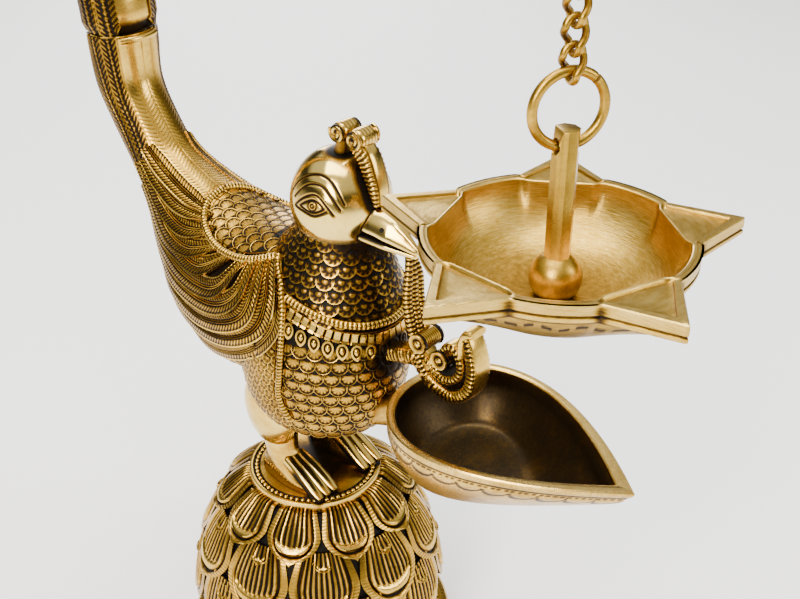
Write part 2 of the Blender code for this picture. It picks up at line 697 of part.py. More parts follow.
def make_stem():
    y = -HANG_FORWARD
    floor = DISH_RIM_HEIGHT - DISH_DEPTH + DISH_WALL
    ball_z = floor + STEM_BALL_RADIUS * 0.72
    top = RING_BOTTOM + 4.6 * MM
    across, facing = hang_frame(HANG_TURN)
    stem = rod("dish_stem", STEM_WIDTH / 2 / math.cos(math.pi / 8), (0, y, ball_z), (0, y, top), sides=8)
    boss = ball("boss", (0, y, ball_z), (STEM_BALL_RADIUS,) * 3, 10, 16)
    tenon_end = floor - DISH_WALL - GAP - DISH_NUT_THICK - 1.2 * MM
    tenon = rod("tenon", STEM_TENON_RADIUS, (0, y, ball_z), (0, y, tenon_end))
    below = box("below", (30 * MM, 30 * MM, 10 * MM), (0, y, floor + GAP - 5 * MM))
    half = STEM_WIDTH / 2
    curve_rise = RING_RADIUS - math.sqrt(RING_RADIUS**2 - half**2)  # the ring climbs inside the eye
    centre = Vector((0, y, RING_BOTTOM + curve_rise + RING_WIRE + RUN - STEM_EYE_RADIUS))
    eye = rod("eye", STEM_EYE_RADIUS, centre - across * 10 * MM, centre + across * 10 * MM, sides=16)
    # the bar's end is filed away on one side, as a flat hook
    file_away = box("file_away", (2.4 * MM, 20 * MM, 9 * MM), (0, 0, 0))
    file_away.matrix_world = (
        Matrix.Translation(Vector((0, y, top)) - across * (STEM_WIDTH / 2))
        @ Matrix.Rotation(-HANG_TURN, 4, "Z")
        @ Matrix.Rotation(math.radians(14), 4, "Y")
    )
    bpy.context.view_layer.update()
    stem = cut(joined(stem, boss), below)
    stem = cut(joined(stem, tenon), eye, baked(file_away))
    nut_top = floor - DISH_WALL - GAP
    nut = hexagon("dish_nut", DISH_NUT_FLATS, nut_top - DISH_NUT_THICK, DISH_NUT_THICK, (0, y))
    bore = rod("bore", STEM_TENON_RADIUS + GAP, (0, y, nut_top - 9 * MM), (0, y, nut_top + 3 * MM))
    return stem, cut(nut, bore)


# --- ring and chain ---------------------------------------------------------------------------------
def make_ring():
    across, _ = hang_frame(HANG_TURN)
    middle = Vector((0, -HANG_FORWARD, RING_BOTTOM + RING_RADIUS))
    start = math.radians(48)
    sweep = math.tau - RING_SPLIT
    points = []
    for n in range(33):
        a = start + RING_SPLIT / 2 + sweep * n / 32
        points.append(middle + across * RING_RADIUS * math.cos(a) + Vector((0, 0, RING_RADIUS * math.sin(a))))
    joint = middle + Vector((0, 0, RING_RADIUS - RING_WIRE - LINK_WIRE - RUN))
    return wire("split_ring", points, RING_WIRE, joint, cyclic=False, sides=12)


def link_turn(number):
    """How far the chain has twisted at a link, counted from the top."""
    return HANG_TURN * number / LINKS


def make_link(number):
    """A twisted curb link: two round ends that stand square to each other, and sides that twist."""
    top = CHAIN_TOP - (number - 1) * LINK_PITCH
    middle = Vector((0, -HANG_FORWARD, top - LINK_LENGTH / 2))
    straight = LINK_LENGTH / 2 - LINK_HALF_WIDTH
    loop = []
    for end, first in ((1, 0), (-1, 180)):
        for n in range(7):
            a = math.radians(first + 30 * n)
            loop.append((LINK_HALF_WIDTH * math.cos(a), end * straight + LINK_HALF_WIDTH * math.sin(a)))
        side = loop[-1][0]
        loop += [(side, end * straight * share) for share in (0.33, -0.33)]
    points = []
    for side, height in loop:
        share = min(max((straight - height) / (2 * straight), 0), 1)
        # at the top the wire runs along x, at the bottom along y
        turn = math.radians(90) * share + link_turn(number - 0.5)
        points.append(middle + Vector((side * math.cos(turn), -side * math.sin(turn), height)))
    link = wire(f"chain_link_{number}", points, LINK_WIRE, (0, -HANG_FORWARD, top))
    # odd links turn about their own top wire, even ones about the wire they hang on
    return link if number % 2 else hung(link, top - 2 * LINK_WIRE - RUN)


def build():
    gold, deep, dark = (0.72, 0.50, 0.20), (0.55, 0.35, 0.10), (0.40, 0.28, 0.12)
    washer, nut, stud_bottom = make_fasteners()
    finish(make_base(), gold, 0.35)
    finish(washer, deep, 0.4)
    finish(nut, deep, 0.4)
    finish(make_bird(stud_bottom), gold, 0.32)
    finish(make_tail(), gold, 0.32)
    for pin in make_pins():
        finish(pin, deep, 0.4)
    finish(make_cup(), dark, 0.35)
    stem, dish_nut = make_stem()
    finish(hung(make_dish(), RING_BOTTOM), gold, 0.38)
    finish(hung(stem, RING_BOTTOM), deep, 0.42)
    finish(hung(dish_nut, RING_BOTTOM), deep, 0.42)
    finish(make_ring(), deep, 0.36)
    for number in range(1, LINKS + 1):
        finish(make_link(number), deep, 0.36)
    for thing in lamp.objects:
        thing.location += SHIFT


clear_scene()
lamp = collection("samai_lamp")
build()
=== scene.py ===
import math

import bpy
import numpy as np
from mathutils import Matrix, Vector
from mathutils.bvhtree import BVHTree


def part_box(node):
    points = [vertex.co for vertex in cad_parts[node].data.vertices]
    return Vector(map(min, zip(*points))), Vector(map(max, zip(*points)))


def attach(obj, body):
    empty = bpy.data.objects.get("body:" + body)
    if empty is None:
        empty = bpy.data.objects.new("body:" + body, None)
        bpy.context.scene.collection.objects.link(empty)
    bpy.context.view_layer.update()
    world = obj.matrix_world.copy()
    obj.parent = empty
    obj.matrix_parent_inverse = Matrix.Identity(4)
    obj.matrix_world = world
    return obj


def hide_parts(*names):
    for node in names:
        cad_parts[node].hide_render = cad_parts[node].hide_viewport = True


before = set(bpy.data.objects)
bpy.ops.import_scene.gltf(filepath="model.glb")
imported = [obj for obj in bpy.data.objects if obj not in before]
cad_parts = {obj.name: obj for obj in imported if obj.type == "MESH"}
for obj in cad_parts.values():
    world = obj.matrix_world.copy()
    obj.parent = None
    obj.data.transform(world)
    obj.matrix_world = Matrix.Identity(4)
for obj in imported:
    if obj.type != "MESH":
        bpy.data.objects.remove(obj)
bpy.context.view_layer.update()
mm = 0.001  # shapes below are in millimetres

# where things are, from the solids
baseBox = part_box("lotus_base")
baseY = (baseBox[0][1] + baseBox[1][1]) / 2 / mm
seatZ = baseBox[1][2] / mm
platformTop = seatZ + 4.3
hangY = (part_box("dish_nut")[0][1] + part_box("dish_nut")[1][1]) / 2 / mm
headCentre = np.array((0, baseY - 17.3, platformTop + 110.2))
headRadii = np.array((15.6, 15.6, 16.54))
print("frame loaded, seat at", round(seatZ, 2), "hanging line at", round(hangY, 2))


# small tools for materials
def linear(hexColour):
    parts = [int(hexColour[n:n + 2], 16) / 255 for n in (1, 3, 5)]
    return tuple(c / 12.92 if c <= 0.04045 else ((c + 0.055) / 1.055) ** 2.4 for c in parts) + (1,)


def addNode(tree, kind, settings=None, links=None):
    made = tree.nodes.new("ShaderNode" + kind)
    for key, value in (settings or {}).items():
        if isinstance(key, str) and hasattr(made, key):
            setattr(made, key, value)
        else:
            made.inputs[key].default_value = value
    for key, source in (links or {}).items():
        tree.links.new(source, made.inputs[key])
    return made


def setRamp(ramp, stops):
    points = ramp.color_ramp.elements
    while len(points) < len(stops):
        points.new(0.5)
    for point, (place, colour) in zip(points, stops):
        point.position = place
        point.color = linear(colour)


# brass that was cast, cleaned and left to darken: its high places are rubbed bright, its recesses keep
# a black brown skin, and between them it goes through golden brown
def brassFinish(name, look):
    made = bpy.data.materials.new(name)
    made.use_nodes = True
    tree = made.node_tree
    shader = tree.nodes["Principled BSDF"]
    place = addNode(tree, "TexCoord").outputs["Object"]
    # the attribute holds the patina, and in places painted shade as well
    depth = addNode(tree, "Attribute", {"attribute_name": "patinaAndShade"}).outputs["Fac"]
    cloud = addNode(tree, "TexNoise", {"Scale": 1 / (look["cloudSize"] * mm), "Detail": 4, "Roughness": 0.6},
                    {"Vector": place}).outputs["Fac"]
    speck = addNode(tree, "TexNoise", {"Scale": 1 / (look["speckSize"] * mm), "Detail": 3, "Roughness": 0.7},
                    {"Vector": place}).outputs["Fac"]
    spread = addNode(tree, "MapRange", {"From Min": 0.3, "From Max": 0.75, "To Min": -look["cloudiness"],
                                        "To Max": look["cloudiness"]}, {"Value": cloud}).outputs["Result"]
    grit = addNode(tree, "MapRange", {"From Min": 0.35, "From Max": 0.7, "To Min": -look["speckle"],
                                      "To Max": look["speckle"]}, {"Value": speck}).outputs["Result"]
    start = addNode(tree, "Math", {"operation": "MULTIPLY_ADD", 1: 1 - look["ground"], 2: look["ground"]},
                    {0: depth}).outputs[0]
    worn = addNode(tree, "Math", {"operation": "ADD"}, {0: start, 1: spread}).outputs[0]
    age = addNode(tree, "Math", {"operation": "ADD", "use_clamp": True}, {0: worn, 1: grit}).outputs[0]
    ramp = addNode(tree, "ValToRGB", {}, {"Fac": age})
    setRamp(ramp, look["colours"])
    rough = addNode(tree, "MapRange", {"To Min": look["shine"], "To Max": look["dull"]}, {"Value": age})
    metal = addNode(tree, "MapRange", {"From Min": 0.55, "To Min": 1.0, "To Max": 0.8}, {"Value": age})
    height = addNode(tree, "Math", {"operation": "MULTIPLY", 1: look["castGrain"]}, {0: speck}).outputs[0]
    if look.get("brush"):
        # strokes of the wire brush run round and down the bowl
        centred = addNode(tree, "Mapping", {"Location": (0, -hangY * mm, 0)}, {"Vector": place}).outputs[0]
        split = addNode(tree, "SeparateXYZ", {}, {0: centred})
        turn = addNode(tree, "Math", {"operation": "ARCTAN2"},
                       {0: split.outputs[1], 1: split.outputs[0]}).outputs[0]
        away = addNode(tree, "VectorMath", {"operation": "LENGTH"}, {0: centred}).outputs["Value"]
        polar = addNode(tree, "CombineXYZ", {}, {0: turn, 1: away, 2: split.outputs[2]}).outputs[0]
        stretched = addNode(tree, "Mapping", {"Scale": look["brush"]}, {"Vector": polar}).outputs[0]
        stroke = addNode(tree, "TexNoise", {"Scale": 1.0, "Detail": 3, "Roughness": 0.65},
                         {"Vector": stretched})
        height = addNode(tree, "Math", {"operation": "MULTIPLY_ADD", 1: 1.4},
                         {0: stroke.outputs["Fac"], 2: height}).outputs[0]
        streak = addNode(tree, "MapRange",
                         {"From Min": 0.35, "From Max": 0.65, "To Min": -0.10, "To Max": 0.10},
                         {"Value": stroke.outputs["Fac"]}).outputs["Result"]
        age = addNode(tree, "Math", {"operation": "ADD", "use_clamp": True}, {0: age, 1: streak}).outputs[0]
        tree.links.new(age, ramp.inputs["Fac"])
    bump = addNode(tree, "Bump", {"Strength": look["bump"], "Distance": 0.0002}, {"Height": height})
    tree.links.new(ramp.outputs["Color"], shader.inputs["Base Color"])
    tree.links.new(rough.outputs[0], shader.inputs["Roughness"])
    tree.links.new(metal.outputs[0], shader.inputs["Metallic"])
    tree.links.new(bump.outputs[0], shader.inputs["Normal"])
    return made


engravedLook = {  # cast and chased brass: warm, with black in the cuts
    "colours": [(0.0, "#DDB752"), (0.22, "#B3882B"), (0.48, "#5E4311"), (0.7, "#1E1206"), (1.0, "#080502")],
    "ground": 0.06, "cloudSize": 14, "cloudiness": 0.09, "speckSize": 1.1, "speckle": 0.06,
    "shine": 0.22, "dull": 0.55, "castGrain": 0.6, "bump": 0.25,
}
polishedLook = {  # hand-polished brass: a mirror with soft golden clouds
    "colours": [(0.0, "#E6C76B"), (0.2, "#C39837"), (0.5, "#6C4B11"), (0.75, "#1F1307"), (1.0, "#080502")],
    "ground": 0.04, "cloudSize": 11, "cloudiness": 0.12, "speckSize": 0.9, "speckle": 0.03,
    "shine": 0.13, "dull": 0.55, "castGrain": 0.3, "bump": 0.10,
}
satinLook = {  # wire-brushed brass: pale, silky, with strokes
    "colours": [(0.0, "#D8B763"), (0.3, "#AF8B32"), (0.55, "#725418"), (0.8, "#2E1D09"), (1.0, "#0E0803")],
    "ground": 0.12, "cloudSize": 18, "cloudiness": 0.06, "speckSize": 0.8, "speckle": 0.03,
    "shine": 0.30, "dull": 0.5, "castGrain": 0.3, "bump": 0.35, "brush": (8.0, 2600.0, 1300.0),
}
deepLook = {  # drawn brass wire and bar, unpolished: a deeper golden brown
    "colours": [(0.0, "#CBA43D"), (0.3, "#987422"), (0.6, "#5F4210"), (0.85, "#231706"), (1.0, "#0D0803")],
    "ground": 0.12, "cloudSize": 6, "cloudiness": 0.12, "speckSize": 0.7, "speckle": 0.06,
    "shine": 0.27, "dull": 0.55, "castGrain": 0.7, "bump": 0.3,
}
cupLook = {  # cast brass darkened by oil and soot inside, filed bright outside
    "colours": [(0.0, "#DDBA67"), (0.25, "#B58E39"), (0.5, "#6B4E20"), (0.75, "#3E301A"), (1.0, "#1B130A")],
    "ground": 0.05, "cloudSize": 9, "cloudiness": 0.13, "speckSize": 0.9, "speckle": 0.08,
    "shine": 0.25, "dull": 0.42, "castGrain": 0.7, "bump": 0.3,
}
engraved = brassFinish("engravedAntiqueBrass", engravedLook)
polished = brassFinish("polishedBrass", polishedLook)
satin = brassFinish("wireBrushedBrass", satinLook)
deep = brassFinish("goldenBrownBrassWire", deepLook)
oiled = brassFinish("oilDarkenedBrass", cupLook)
print("materials made")


# small tools for shapes
def unselect():
    if bpy.context.object and bpy.context.object.mode != "OBJECT":
        bpy.ops.object.mode_set(mode="OBJECT")
    bpy.ops.object.select_all(action="DESELECT")


def pick(things):
    unselect()
    for thing in things:
        thing.select_set(True)
    bpy.context.view_layer.objects.active = things[0]


def ease(a, b, x):
    t = np.clip((x - a) / (b - a), 0, 1)
    return t * t * (3 - 2 * t)


def readPoints(thing):
    flat = np.empty(len(thing.data.vertices) * 3, np.float32)
    thing.data.vertices.foreach_get("co", flat)
    return flat.reshape(-1, 3).astype(float) / mm


def writePoints(thing, points):
    thing.data.vertices.foreach_set("co", (np.asarray(points) * mm).astype(np.float32).ravel())
    thing.data.update()


# the attribute holds the patina, and in places painted shade as well
def setPatinaAndShade(thing, values):
    layer = thing.data.attributes.get("patinaAndShade") or thing.data.attributes.new("patinaAndShade", "FLOAT", "POINT")
    layer.data.foreach_set("value", np.clip(values, 0, 1).astype(np.float32).ravel())


def closeUp(thing, merge=1e-6, fill=True):
    pick([thing])
    bpy.ops.object.mode_set(mode="EDIT")
    bpy.ops.mesh.select_all(action="SELECT")
    bpy.ops.mesh.remove_doubles(threshold=merge)
    if fill:
        bpy.ops.mesh.select_all(action="SELECT")
        bpy.ops.mesh.fill_holes(sides=0)
    bpy.ops.mesh.select_all(action="SELECT")
    bpy.ops.mesh.normals_make_consistent(inside=False)
    bpy.ops.object.mode_set(mode="OBJECT")
    return thing


def softShade(thing, degrees=40):
    pick([thing])
    bpy.ops.object.shade_smooth_by_angle(angle=math.radians(degrees))
    return thing


# a grid bent into a closed sleeve: points are rows x columns x 3, and the columns run round
def sleeve(name, points, patinaAndShade):
    rows, columns = points.shape[:2]
    unselect()
    bpy.ops.mesh.primitive_grid_add(x_subdivisions=columns, y_subdivisions=rows - 1, size=1)
    made = bpy.context.object
    made.name = name
    flat = readPoints(made) * mm
    column = np.rint((flat[:, 0] + 0.5) * columns).astype(int) % columns
    row = np.rint((flat[:, 1] + 0.5) * (rows - 1)).astype(int)
    writePoints(made, points[row, column])
    setPatinaAndShade(made, patinaAndShade[row, column])
    return closeUp(made)


def joined(name, parts):
    pick(parts)
    bpy.ops.object.join()
    made = bpy.context.object
    made.name = name
    made.data.name = name
    return made


def finishPiece(thing, body, material, nodes=(), degrees=40):
    softShade(thing, degrees)
    thing.data.materials.clear()
    thing.data.materials.append(material)
    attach(thing, body)
    if nodes:
        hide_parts(*nodes)
    return thing


def copyOf(thing, name):
    made = thing.copy()
    made.data = thing.data.copy()
    made.name = name
    bpy.context.collection.objects.link(made)
    return made


def mirrored(thing, name):
    made = copyOf(thing, name)
    points = readPoints(made)
    points[:, 0] *= -1
    writePoints(made, points)
    pick([made])
    bpy.ops.object.mode_set(mode="EDIT")
    bpy.ops.mesh.select_all(action="SELECT")
    bpy.ops.mesh.flip_normals()
    bpy.ops.object.mode_set(mode="OBJECT")
    return made


def smoothLine(stations, steps):
    stations = np.asarray(stations, float)
    rows = []
    last = len(stations) - 1
    for n in range(last):
        a, b, c, d = stations[max(n - 1, 0)], stations[n], stations[n + 1], stations[min(n + 2, last)]
        for step in range(steps):
            t = step / steps
            rows.append(0.5 * (2 * b + (c - a) * t + (2 * a - 5 * b + 4 * c - d) * t**2
                               + (3 * b - 3 * c + d - a) * t**3))
    rows.append(stations[last])
    return np.array(rows)


def evenLine(points, step):
    fine = smoothLine(points, 12)
    lengths = np.r_[0, np.cumsum(np.linalg.norm(np.diff(fine, axis=0), axis=1))]
    count = max(int(round(lengths[-1] / step)), 4)
    at = np.linspace(0, lengths[-1], count + 1)
    return np.stack([np.interp(at, lengths, fine[:, k]) for k in range(3)], 1), at


# how far each point is from a line of points
def lineDistance(points, line):
    best = np.full(len(points), 1e9)
    for a, b in zip(line, line[1:]):
        along = b - a
        t = np.clip(((points - a) @ along) / max(along @ along, 1e-12), 0, 1)
        best = np.minimum(best, np.linalg.norm(points - (a + t[:, None] * along), axis=1))
    return best


# the bird's plain form, under its ornament
bird = {"halfWidth": 28.0, "belly": platformTop + 30, "tailBack": 89.0, "tailJoint": platformTop + 140.7,
        "inset": 0.7}


def chestStations():
    belly, wide = bird["belly"], bird["halfWidth"]
    neck, top = 17.3, headCentre[2] - 6
    rise = top - belly
    return [
        (-5, belly - 2.6, 12, 13, 0), (-6, belly - 1, 18.5, 20.5, 0),
        (-6, belly + 0.08 * rise, wide - 4.5, 27, 0), (-6.5, belly + 0.24 * rise, wide - 2.5, 30.5, 0),
        (-7, belly + 0.42 * rise, wide - 1.5, 32, 0), (-8, belly + 0.60 * rise, wide - 4, 29.5, 0),
        (-neck * 0.72, belly + 0.78 * rise, 18.5, 22, 0), (-neck * 0.88, belly + 0.90 * rise, 15, 16.5, 0),
        (-neck, top, 13, 13, 0),
    ]


def backStations():
    wide, tail, belly = bird["halfWidth"], bird["tailBack"], bird["belly"]
    rise = bird["tailJoint"] - belly
    shares = [
        (-14, 0.368, 10, 14, -78), (-9, 0.350, wide - 5, 24, -74), (2, 0.334, wide + 1, 30, -70),
        (0.18 * tail, 0.334, wide + 1.5, 31, -62), (0.37 * tail, 0.375, wide - 2, 26.5, -52),
        (0.52 * tail, 0.450, wide - 8, 20.5, -43), (0.65 * tail, 0.535, wide - 13.5, 14.5, -35),
        (0.775 * tail, 0.620, 11.5, 10.5, -28), (0.88 * tail, 0.730, 11, 10, -16),
        (0.95 * tail, 0.837, 11.5, 10, -6), (tail - 3.5, 0.960, 12.5, 10, 0), (tail - 3.5, 1.0, 12.5, 10, 0),
    ]
    return [(y, belly + up * rise, w, d, lean) for y, up, w, d, lean in shares]


def ovals(stations, steps, sides, inset):
    rows = smoothLine(stations, steps)
    turns = np.linspace(0, math.tau, sides, endpoint=False)
    out = np.empty((len(rows), sides, 3))
    for n, (y, z, w, d, lean) in enumerate(rows):
        tilt = math.radians(lean)
        w, d = w - inset, d - inset
        out[n, :, 0] = w * np.cos(turns)
        out[n, :, 1] = baseY + y + d * np.sin(turns) * math.cos(tilt)
        out[n, :, 2] = z + d * np.sin(turns) * math.sin(tilt)
    return out


def skinPatina(points):
    # the tail's stub is rubbed bright, the rest lies dark under ornament
    y, z = points[..., 1] - baseY, points[..., 2]
    value = np.full(points.shape[:2], 0.92)
    stub = ease(46, 56, y) * ease(bird["belly"] + 55, bird["belly"] + 66, z)
    return value * (1 - stub) + 0.10 * stub


chestGrid = ovals(chestStations(), 9, 120, bird["inset"])
backGrid = ovals(backStations(), 12, 128, bird["inset"])
chestForm = sleeve("chestForm", chestGrid, skinPatina(chestGrid))
backForm = sleeve("backForm", backGrid, skinPatina(backGrid))


def thigh(side):
    unselect()
    bpy.ops.mesh.primitive_uv_sphere_add(segments=48, ring_count=32, radius=mm)
    made = bpy.context.object
    points = readPoints(made)
    centre = np.array((side * 13.2, baseY + 4.5, bird["belly"] + 2))
    points[:, 2] *= np.where(points[:, 2] < 0, 1.3, 1)  # tapers down into the leg
    points = points * np.array((9.0, 11.5, 13.5)) + centre
    writePoints(made, points)
    setPatinaAndShade(made, np.full(len(points), 0.08))
    return made


thighs = [thigh(-1), thigh(1)]


def skinTree(things):
    corners, faces = [], []
    for thing in things:
        start = len(corners)
        corners += [tuple(p) for p in readPoints(thing)]
        faces += [tuple(start + n for n in face.vertices)
                  for face in thing.data.polygons if len(face.vertices) < 5]
    return BVHTree.FromPolygons(corners, faces)


birdSkin = skinTree([chestForm, backForm, *thighs])
print("bird's form made")


def onSkin(points, skin):
    spots = np.empty_like(points)
    normals = np.empty_like(points)
    for n, point in enumerate(points):
        spot, normal, _, _ = skin.find_nearest(Vector(point))
        spots[n], normals[n] = spot, normal
    return spots, normals


# soot and old polish stay where two pieces meet; with a longer reach this is painted shade, cast by one piece
# on the other
def jointDirtAndShadeNear(thing, others, reach, amount=1.0):
    tree = skinTree(others)
    points = readPoints(thing)
    low = np.min([readPoints(o).min(0) for o in others], 0) - reach
    high = np.max([readPoints(o).max(0) for o in others], 0) + reach
    values = np.empty(len(points), np.float32)
    thing.data.attributes["patinaAndShade"].data.foreach_get("value", values)
    for n in np.flatnonzero(((points > low) & (points < high)).all(1)):
        apart = tree.find_nearest(Vector(points[n]), reach)[3]
        if apart is not None:
            values[n] = max(values[n], amount * min(1.0, 1.6 * (1 - apart / reach)))
    setPatinaAndShade(thing, values)


def unit(vectors):
    return vectors / np.maximum(np.linalg.norm(vectors, axis=-1, keepdims=True), 1e-9)


def relaxed(values, times):
    values = values.copy()
    for _ in range(times):
        values[1:-1] = (values[:-2] + 2 * values[1:-1] + values[2:]) / 4
    return values


# a ribbon laid on the form along a line; relief gives its height and patina at (distance along, place
# across from -1 to 1, share along)
def ribbon(name, line, halfWidth, relief, step=0.35, across=12, sink=0.8, skin=None):
    skin = skin or birdSkin
    middle, at = evenLine(line, step)
    middle, normals = onSkin(middle, skin)
    middle = relaxed(middle, 6)
    normals = unit(relaxed(normals, 12))
    share = at / at[-1]
    along = unit(np.gradient(middle, axis=0))
    sideways = unit(np.cross(normals, along))
    half = np.array([halfWidth(s) if callable(halfWidth) else halfWidth for s in share])
    w = np.linspace(-1, 1, across + 1)
    spread = middle[:, None] + sideways[:, None] * (half[:, None] * w)[:, :, None]
    spots, ups = onSkin(spread.reshape(-1, 3), skin)
    spots = spots.reshape(spread.shape)
    ups = unit(ups.reshape(spread.shape) + normals[:, None] * 0.6)
    height, patinaAndShade = relief(at[:, None] + 0 * w, w + 0 * at[:, None], share[:, None] + 0 * w)
    top = spots + ups * height[:, :, None]
    low = spots[:, [-1, 0]] - ups[:, [-1, 0]] * sink
    points = np.concatenate([top, low], 1)
    tones = np.concatenate([patinaAndShade, np.ones((len(at), 2))], 1)
    return sleeve(name, points, tones)


# a flat ornament, drawn with +Y forward and +Z up, laid on the form at spot and facing heading
def laid(pattern, name, spot, heading, size=1.0):
    spot, normal = onSkin(np.array([spot], float), birdSkin)
    spot, normal = spot[0], normal[0]
    heading = np.asarray(heading, float)
    forward = unit(heading - normal * (heading @ normal))
    sideways = np.cross(forward, normal)
    made = copyOf(pattern, name)
    flat = readPoints(made) * size
    spread = spot + forward * flat[:, 1:2] + sideways * flat[:, 0:1]
    spots, ups = onSkin(spread, birdSkin)
    writePoints(made, spots + unit(ups + normal * 0.7) * flat[:, 2:3])
    return made


# a small ornament made of rings, each (share of its size, height, patina); fringe darkens every other ray
def ornament(name, halfWidth, halfLength, rings, sides=14, tilt=0.0, sharp=0.0, fringe=0.0, shade=0.0):
    turns = np.linspace(0, math.tau, sides, endpoint=False)
    points = np.empty((len(rings), sides, 3))
    tones = np.empty((len(rings), sides))
    reach = 1 + sharp * np.maximum(np.cos(turns), 0) ** 6
    for n, (share, height, tone) in enumerate(rings):
        points[n, :, 0] = halfWidth * share * np.sin(turns)
        points[n, :, 1] = -halfLength * share * np.cos(turns) * reach
        points[n, :, 2] = height + tilt * share * np.cos(turns)
        tones[n] = tone + fringe * (np.arange(sides) % 2) * (0.5 < share < 0.9)
        tones[n] += shade * ease(0.02, 0.30, -share * np.cos(turns))  # in the shadow of the scale above
    return sleeve(name, points, tones)


def layAll(name, pattern, places):
    # places are (spot, heading) or (spot, heading, size)
    parts = [laid(pattern, f"{name}{n}", place[0], place[1], size=place[2] if len(place) > 2 else 1.0)
             for n, place in enumerate(places)]
    return joined(name, parts)


def ringed(eye, field, rim, ring=0.95):
    return [(0.98, -0.9, 1.0), (1.0, 0.0, 1.0), (0.92, 0.42, rim), (0.74, 0.40, field), (0.40, 0.22, ring),
            (0.22, 0.40, eye), (0.03, 0.46, eye)]


def bands(pitch, groove=0.75, crown=1.9, rimHeight=0.9, core=0.62):
    # a ribbed cord between two black channels, with a thin edge outside them
    def relief(s, w, share):
        wave = 0.5 + 0.5 * np.cos(math.tau * s / pitch)
        cord = np.clip(1 - (w / core) ** 2, 0, 1) ** 0.5
        edge = ease(0.80, 0.90, np.abs(w))
        height = 0.15 + cord * (crown - 0.32 * (1 - wave)) + edge * rimHeight * (1 - cord)
        black = (1 - ease(0.05, 0.45, cord)) * (1 - edge)
        patinaAndShade = np.maximum(black, cord * groove * (1 - wave) ** 2) + 0.08 * edge
        return height, patinaAndShade
    return relief


def feathers(pitch, slant, lift, tilt=0.35, dark=0.85, bright=0.12):
    # barbs on both sides of a double quill line, inside two thin edges
    def relief(s, w, share):
        side = np.abs(w)
        barb = 0.5 + 0.5 * np.cos(math.tau * (s - slant * side) / pitch)
        quill = np.exp(-((side - 0.10) / 0.055) ** 2)
        slot = np.exp(-(w / 0.045) ** 2) + np.exp(-((side - 0.20) / 0.05) ** 2)
        rim = ease(0.80, 0.88, side)
        groove = np.exp(-((side - 0.76) / 0.05) ** 2)
        flat = (1 - rim) * (1 - ease(0.24, 0.16, side))
        height = lift + tilt * w + 0.26 * barb * flat + 0.22 * quill + 0.24 * rim - 0.18 * (slot + groove)
        patinaAndShade = flat * dark * (1 - barb) ** 1.3 + bright + 0.7 * np.clip(slot + groove, 0, 1)
        return height, np.clip(patinaAndShade * (1 - 0.85 * rim), 0, 1)
    return relief


# where a ray first meets the bird's form
def hit(origin, direction):
    spot = birdSkin.ray_cast(Vector(origin), Vector(direction))[0]
    return None if spot is None else np.array(spot)


# chest and neck
chest = {"neckRow": 3.8, "neckScale": (3.2, 3.1), "lowRow": 4.3, "lowScale": (3.2, 3.4),
         "bandWidth": 2.35, "ribPitch": 1.35, "segmentPitch": 2.6, "pendantPitch": 4.4}


def chestRows(rows, pitch, edge):
    places = []
    for n, z in enumerate(rows):
        axis = baseY - 9 - 6 * float(ease(150, 172, z))
        radius = abs(hit((0, axis - 90, z), (0, 1, 0))[1] - axis)
        count = int(round(math.tau * radius / pitch))
        for k in range(count):
            turn = math.tau * (k + 0.5 * (n % 2)) / count
            way = np.array((math.sin(turn), -math.cos(turn), 0))
            spot = hit(np.array((0, axis, z)) + way * 90, -way)
            if spot is not None and spot[1] < edge(z):
                places.append((spot, (0, 0, 1)))
    return places


def wingEdge(z):
    return float(np.interp(z, (112, 146, 155, 160, 166, 170, 174), (8.5, 6.5, 7.5, 9, 13, 17, 60)))


neckScale = ornament("neckScale", *chest["neckScale"], ringed(0.28, 0.34, 0.05, 0.8), sides=18, tilt=0.6,
                     fringe=0.5, shade=0.9)
crescent = [(0.98, -0.9, 1.0), (1.0, 0.1, 1.0), (0.90, 0.45, 0.0), (0.80, 0.34, 0.85), (0.56, 0.42, 0.12),
            (0.26, 0.44, 0.2), (0.03, 0.48, 0.2)]
lowScale = ornament("lowScale", *chest["lowScale"], crescent, sides=20, tilt=0.6, fringe=0.4, shade=0.9)
neckRows = [179.6 - chest["neckRow"] * n for n in range(7)]
lowRows = [146.5 - chest["lowRow"] * n for n in range(9)]
neckScales = layAll("neckScales", neckScale, chestRows(neckRows[::-1], 5.4, wingEdge))
chestScales = layAll("chestScales", lowScale, chestRows(lowRows[::-1], 5.4, wingEdge))


def bothWays(half):
    # a line in front of the chest from its left half, which ends at the middle
    whole = [tuple(p) for p in half]
    return whole + [(-x, y, z) for x, y, z in whole[-2::-1]]


neckBand = ribbon("neckBand", bothWays([(-20.5, 8.5, 161), (-19.5, 1.5, 159), (-16.8, -5.2, 156.8),
                                        (-12.2, -10.6, 155.2), (-6.7, -13.9, 154.3), (0, -15.2, 153.8)]),
                  chest["bandWidth"], bands(chest["ribPitch"]), step=0.27)


def segments(s, w, share):
    # flat plates side by side, each with a dark line round it
    cell = np.abs(((s / chest["segmentPitch"]) % 1) - 0.5) * 2
    gap = ease(0.72, 0.9, cell)
    side = ease(0.72, 0.86, np.abs(w))
    height = 1.25 - 0.75 * gap + 0.25 * side
    patinaAndShade = 0.9 * gap * (1 - side) + 0.55 * np.exp(-((np.abs(w) - 0.7) / 0.08) ** 2)
    return height, patinaAndShade


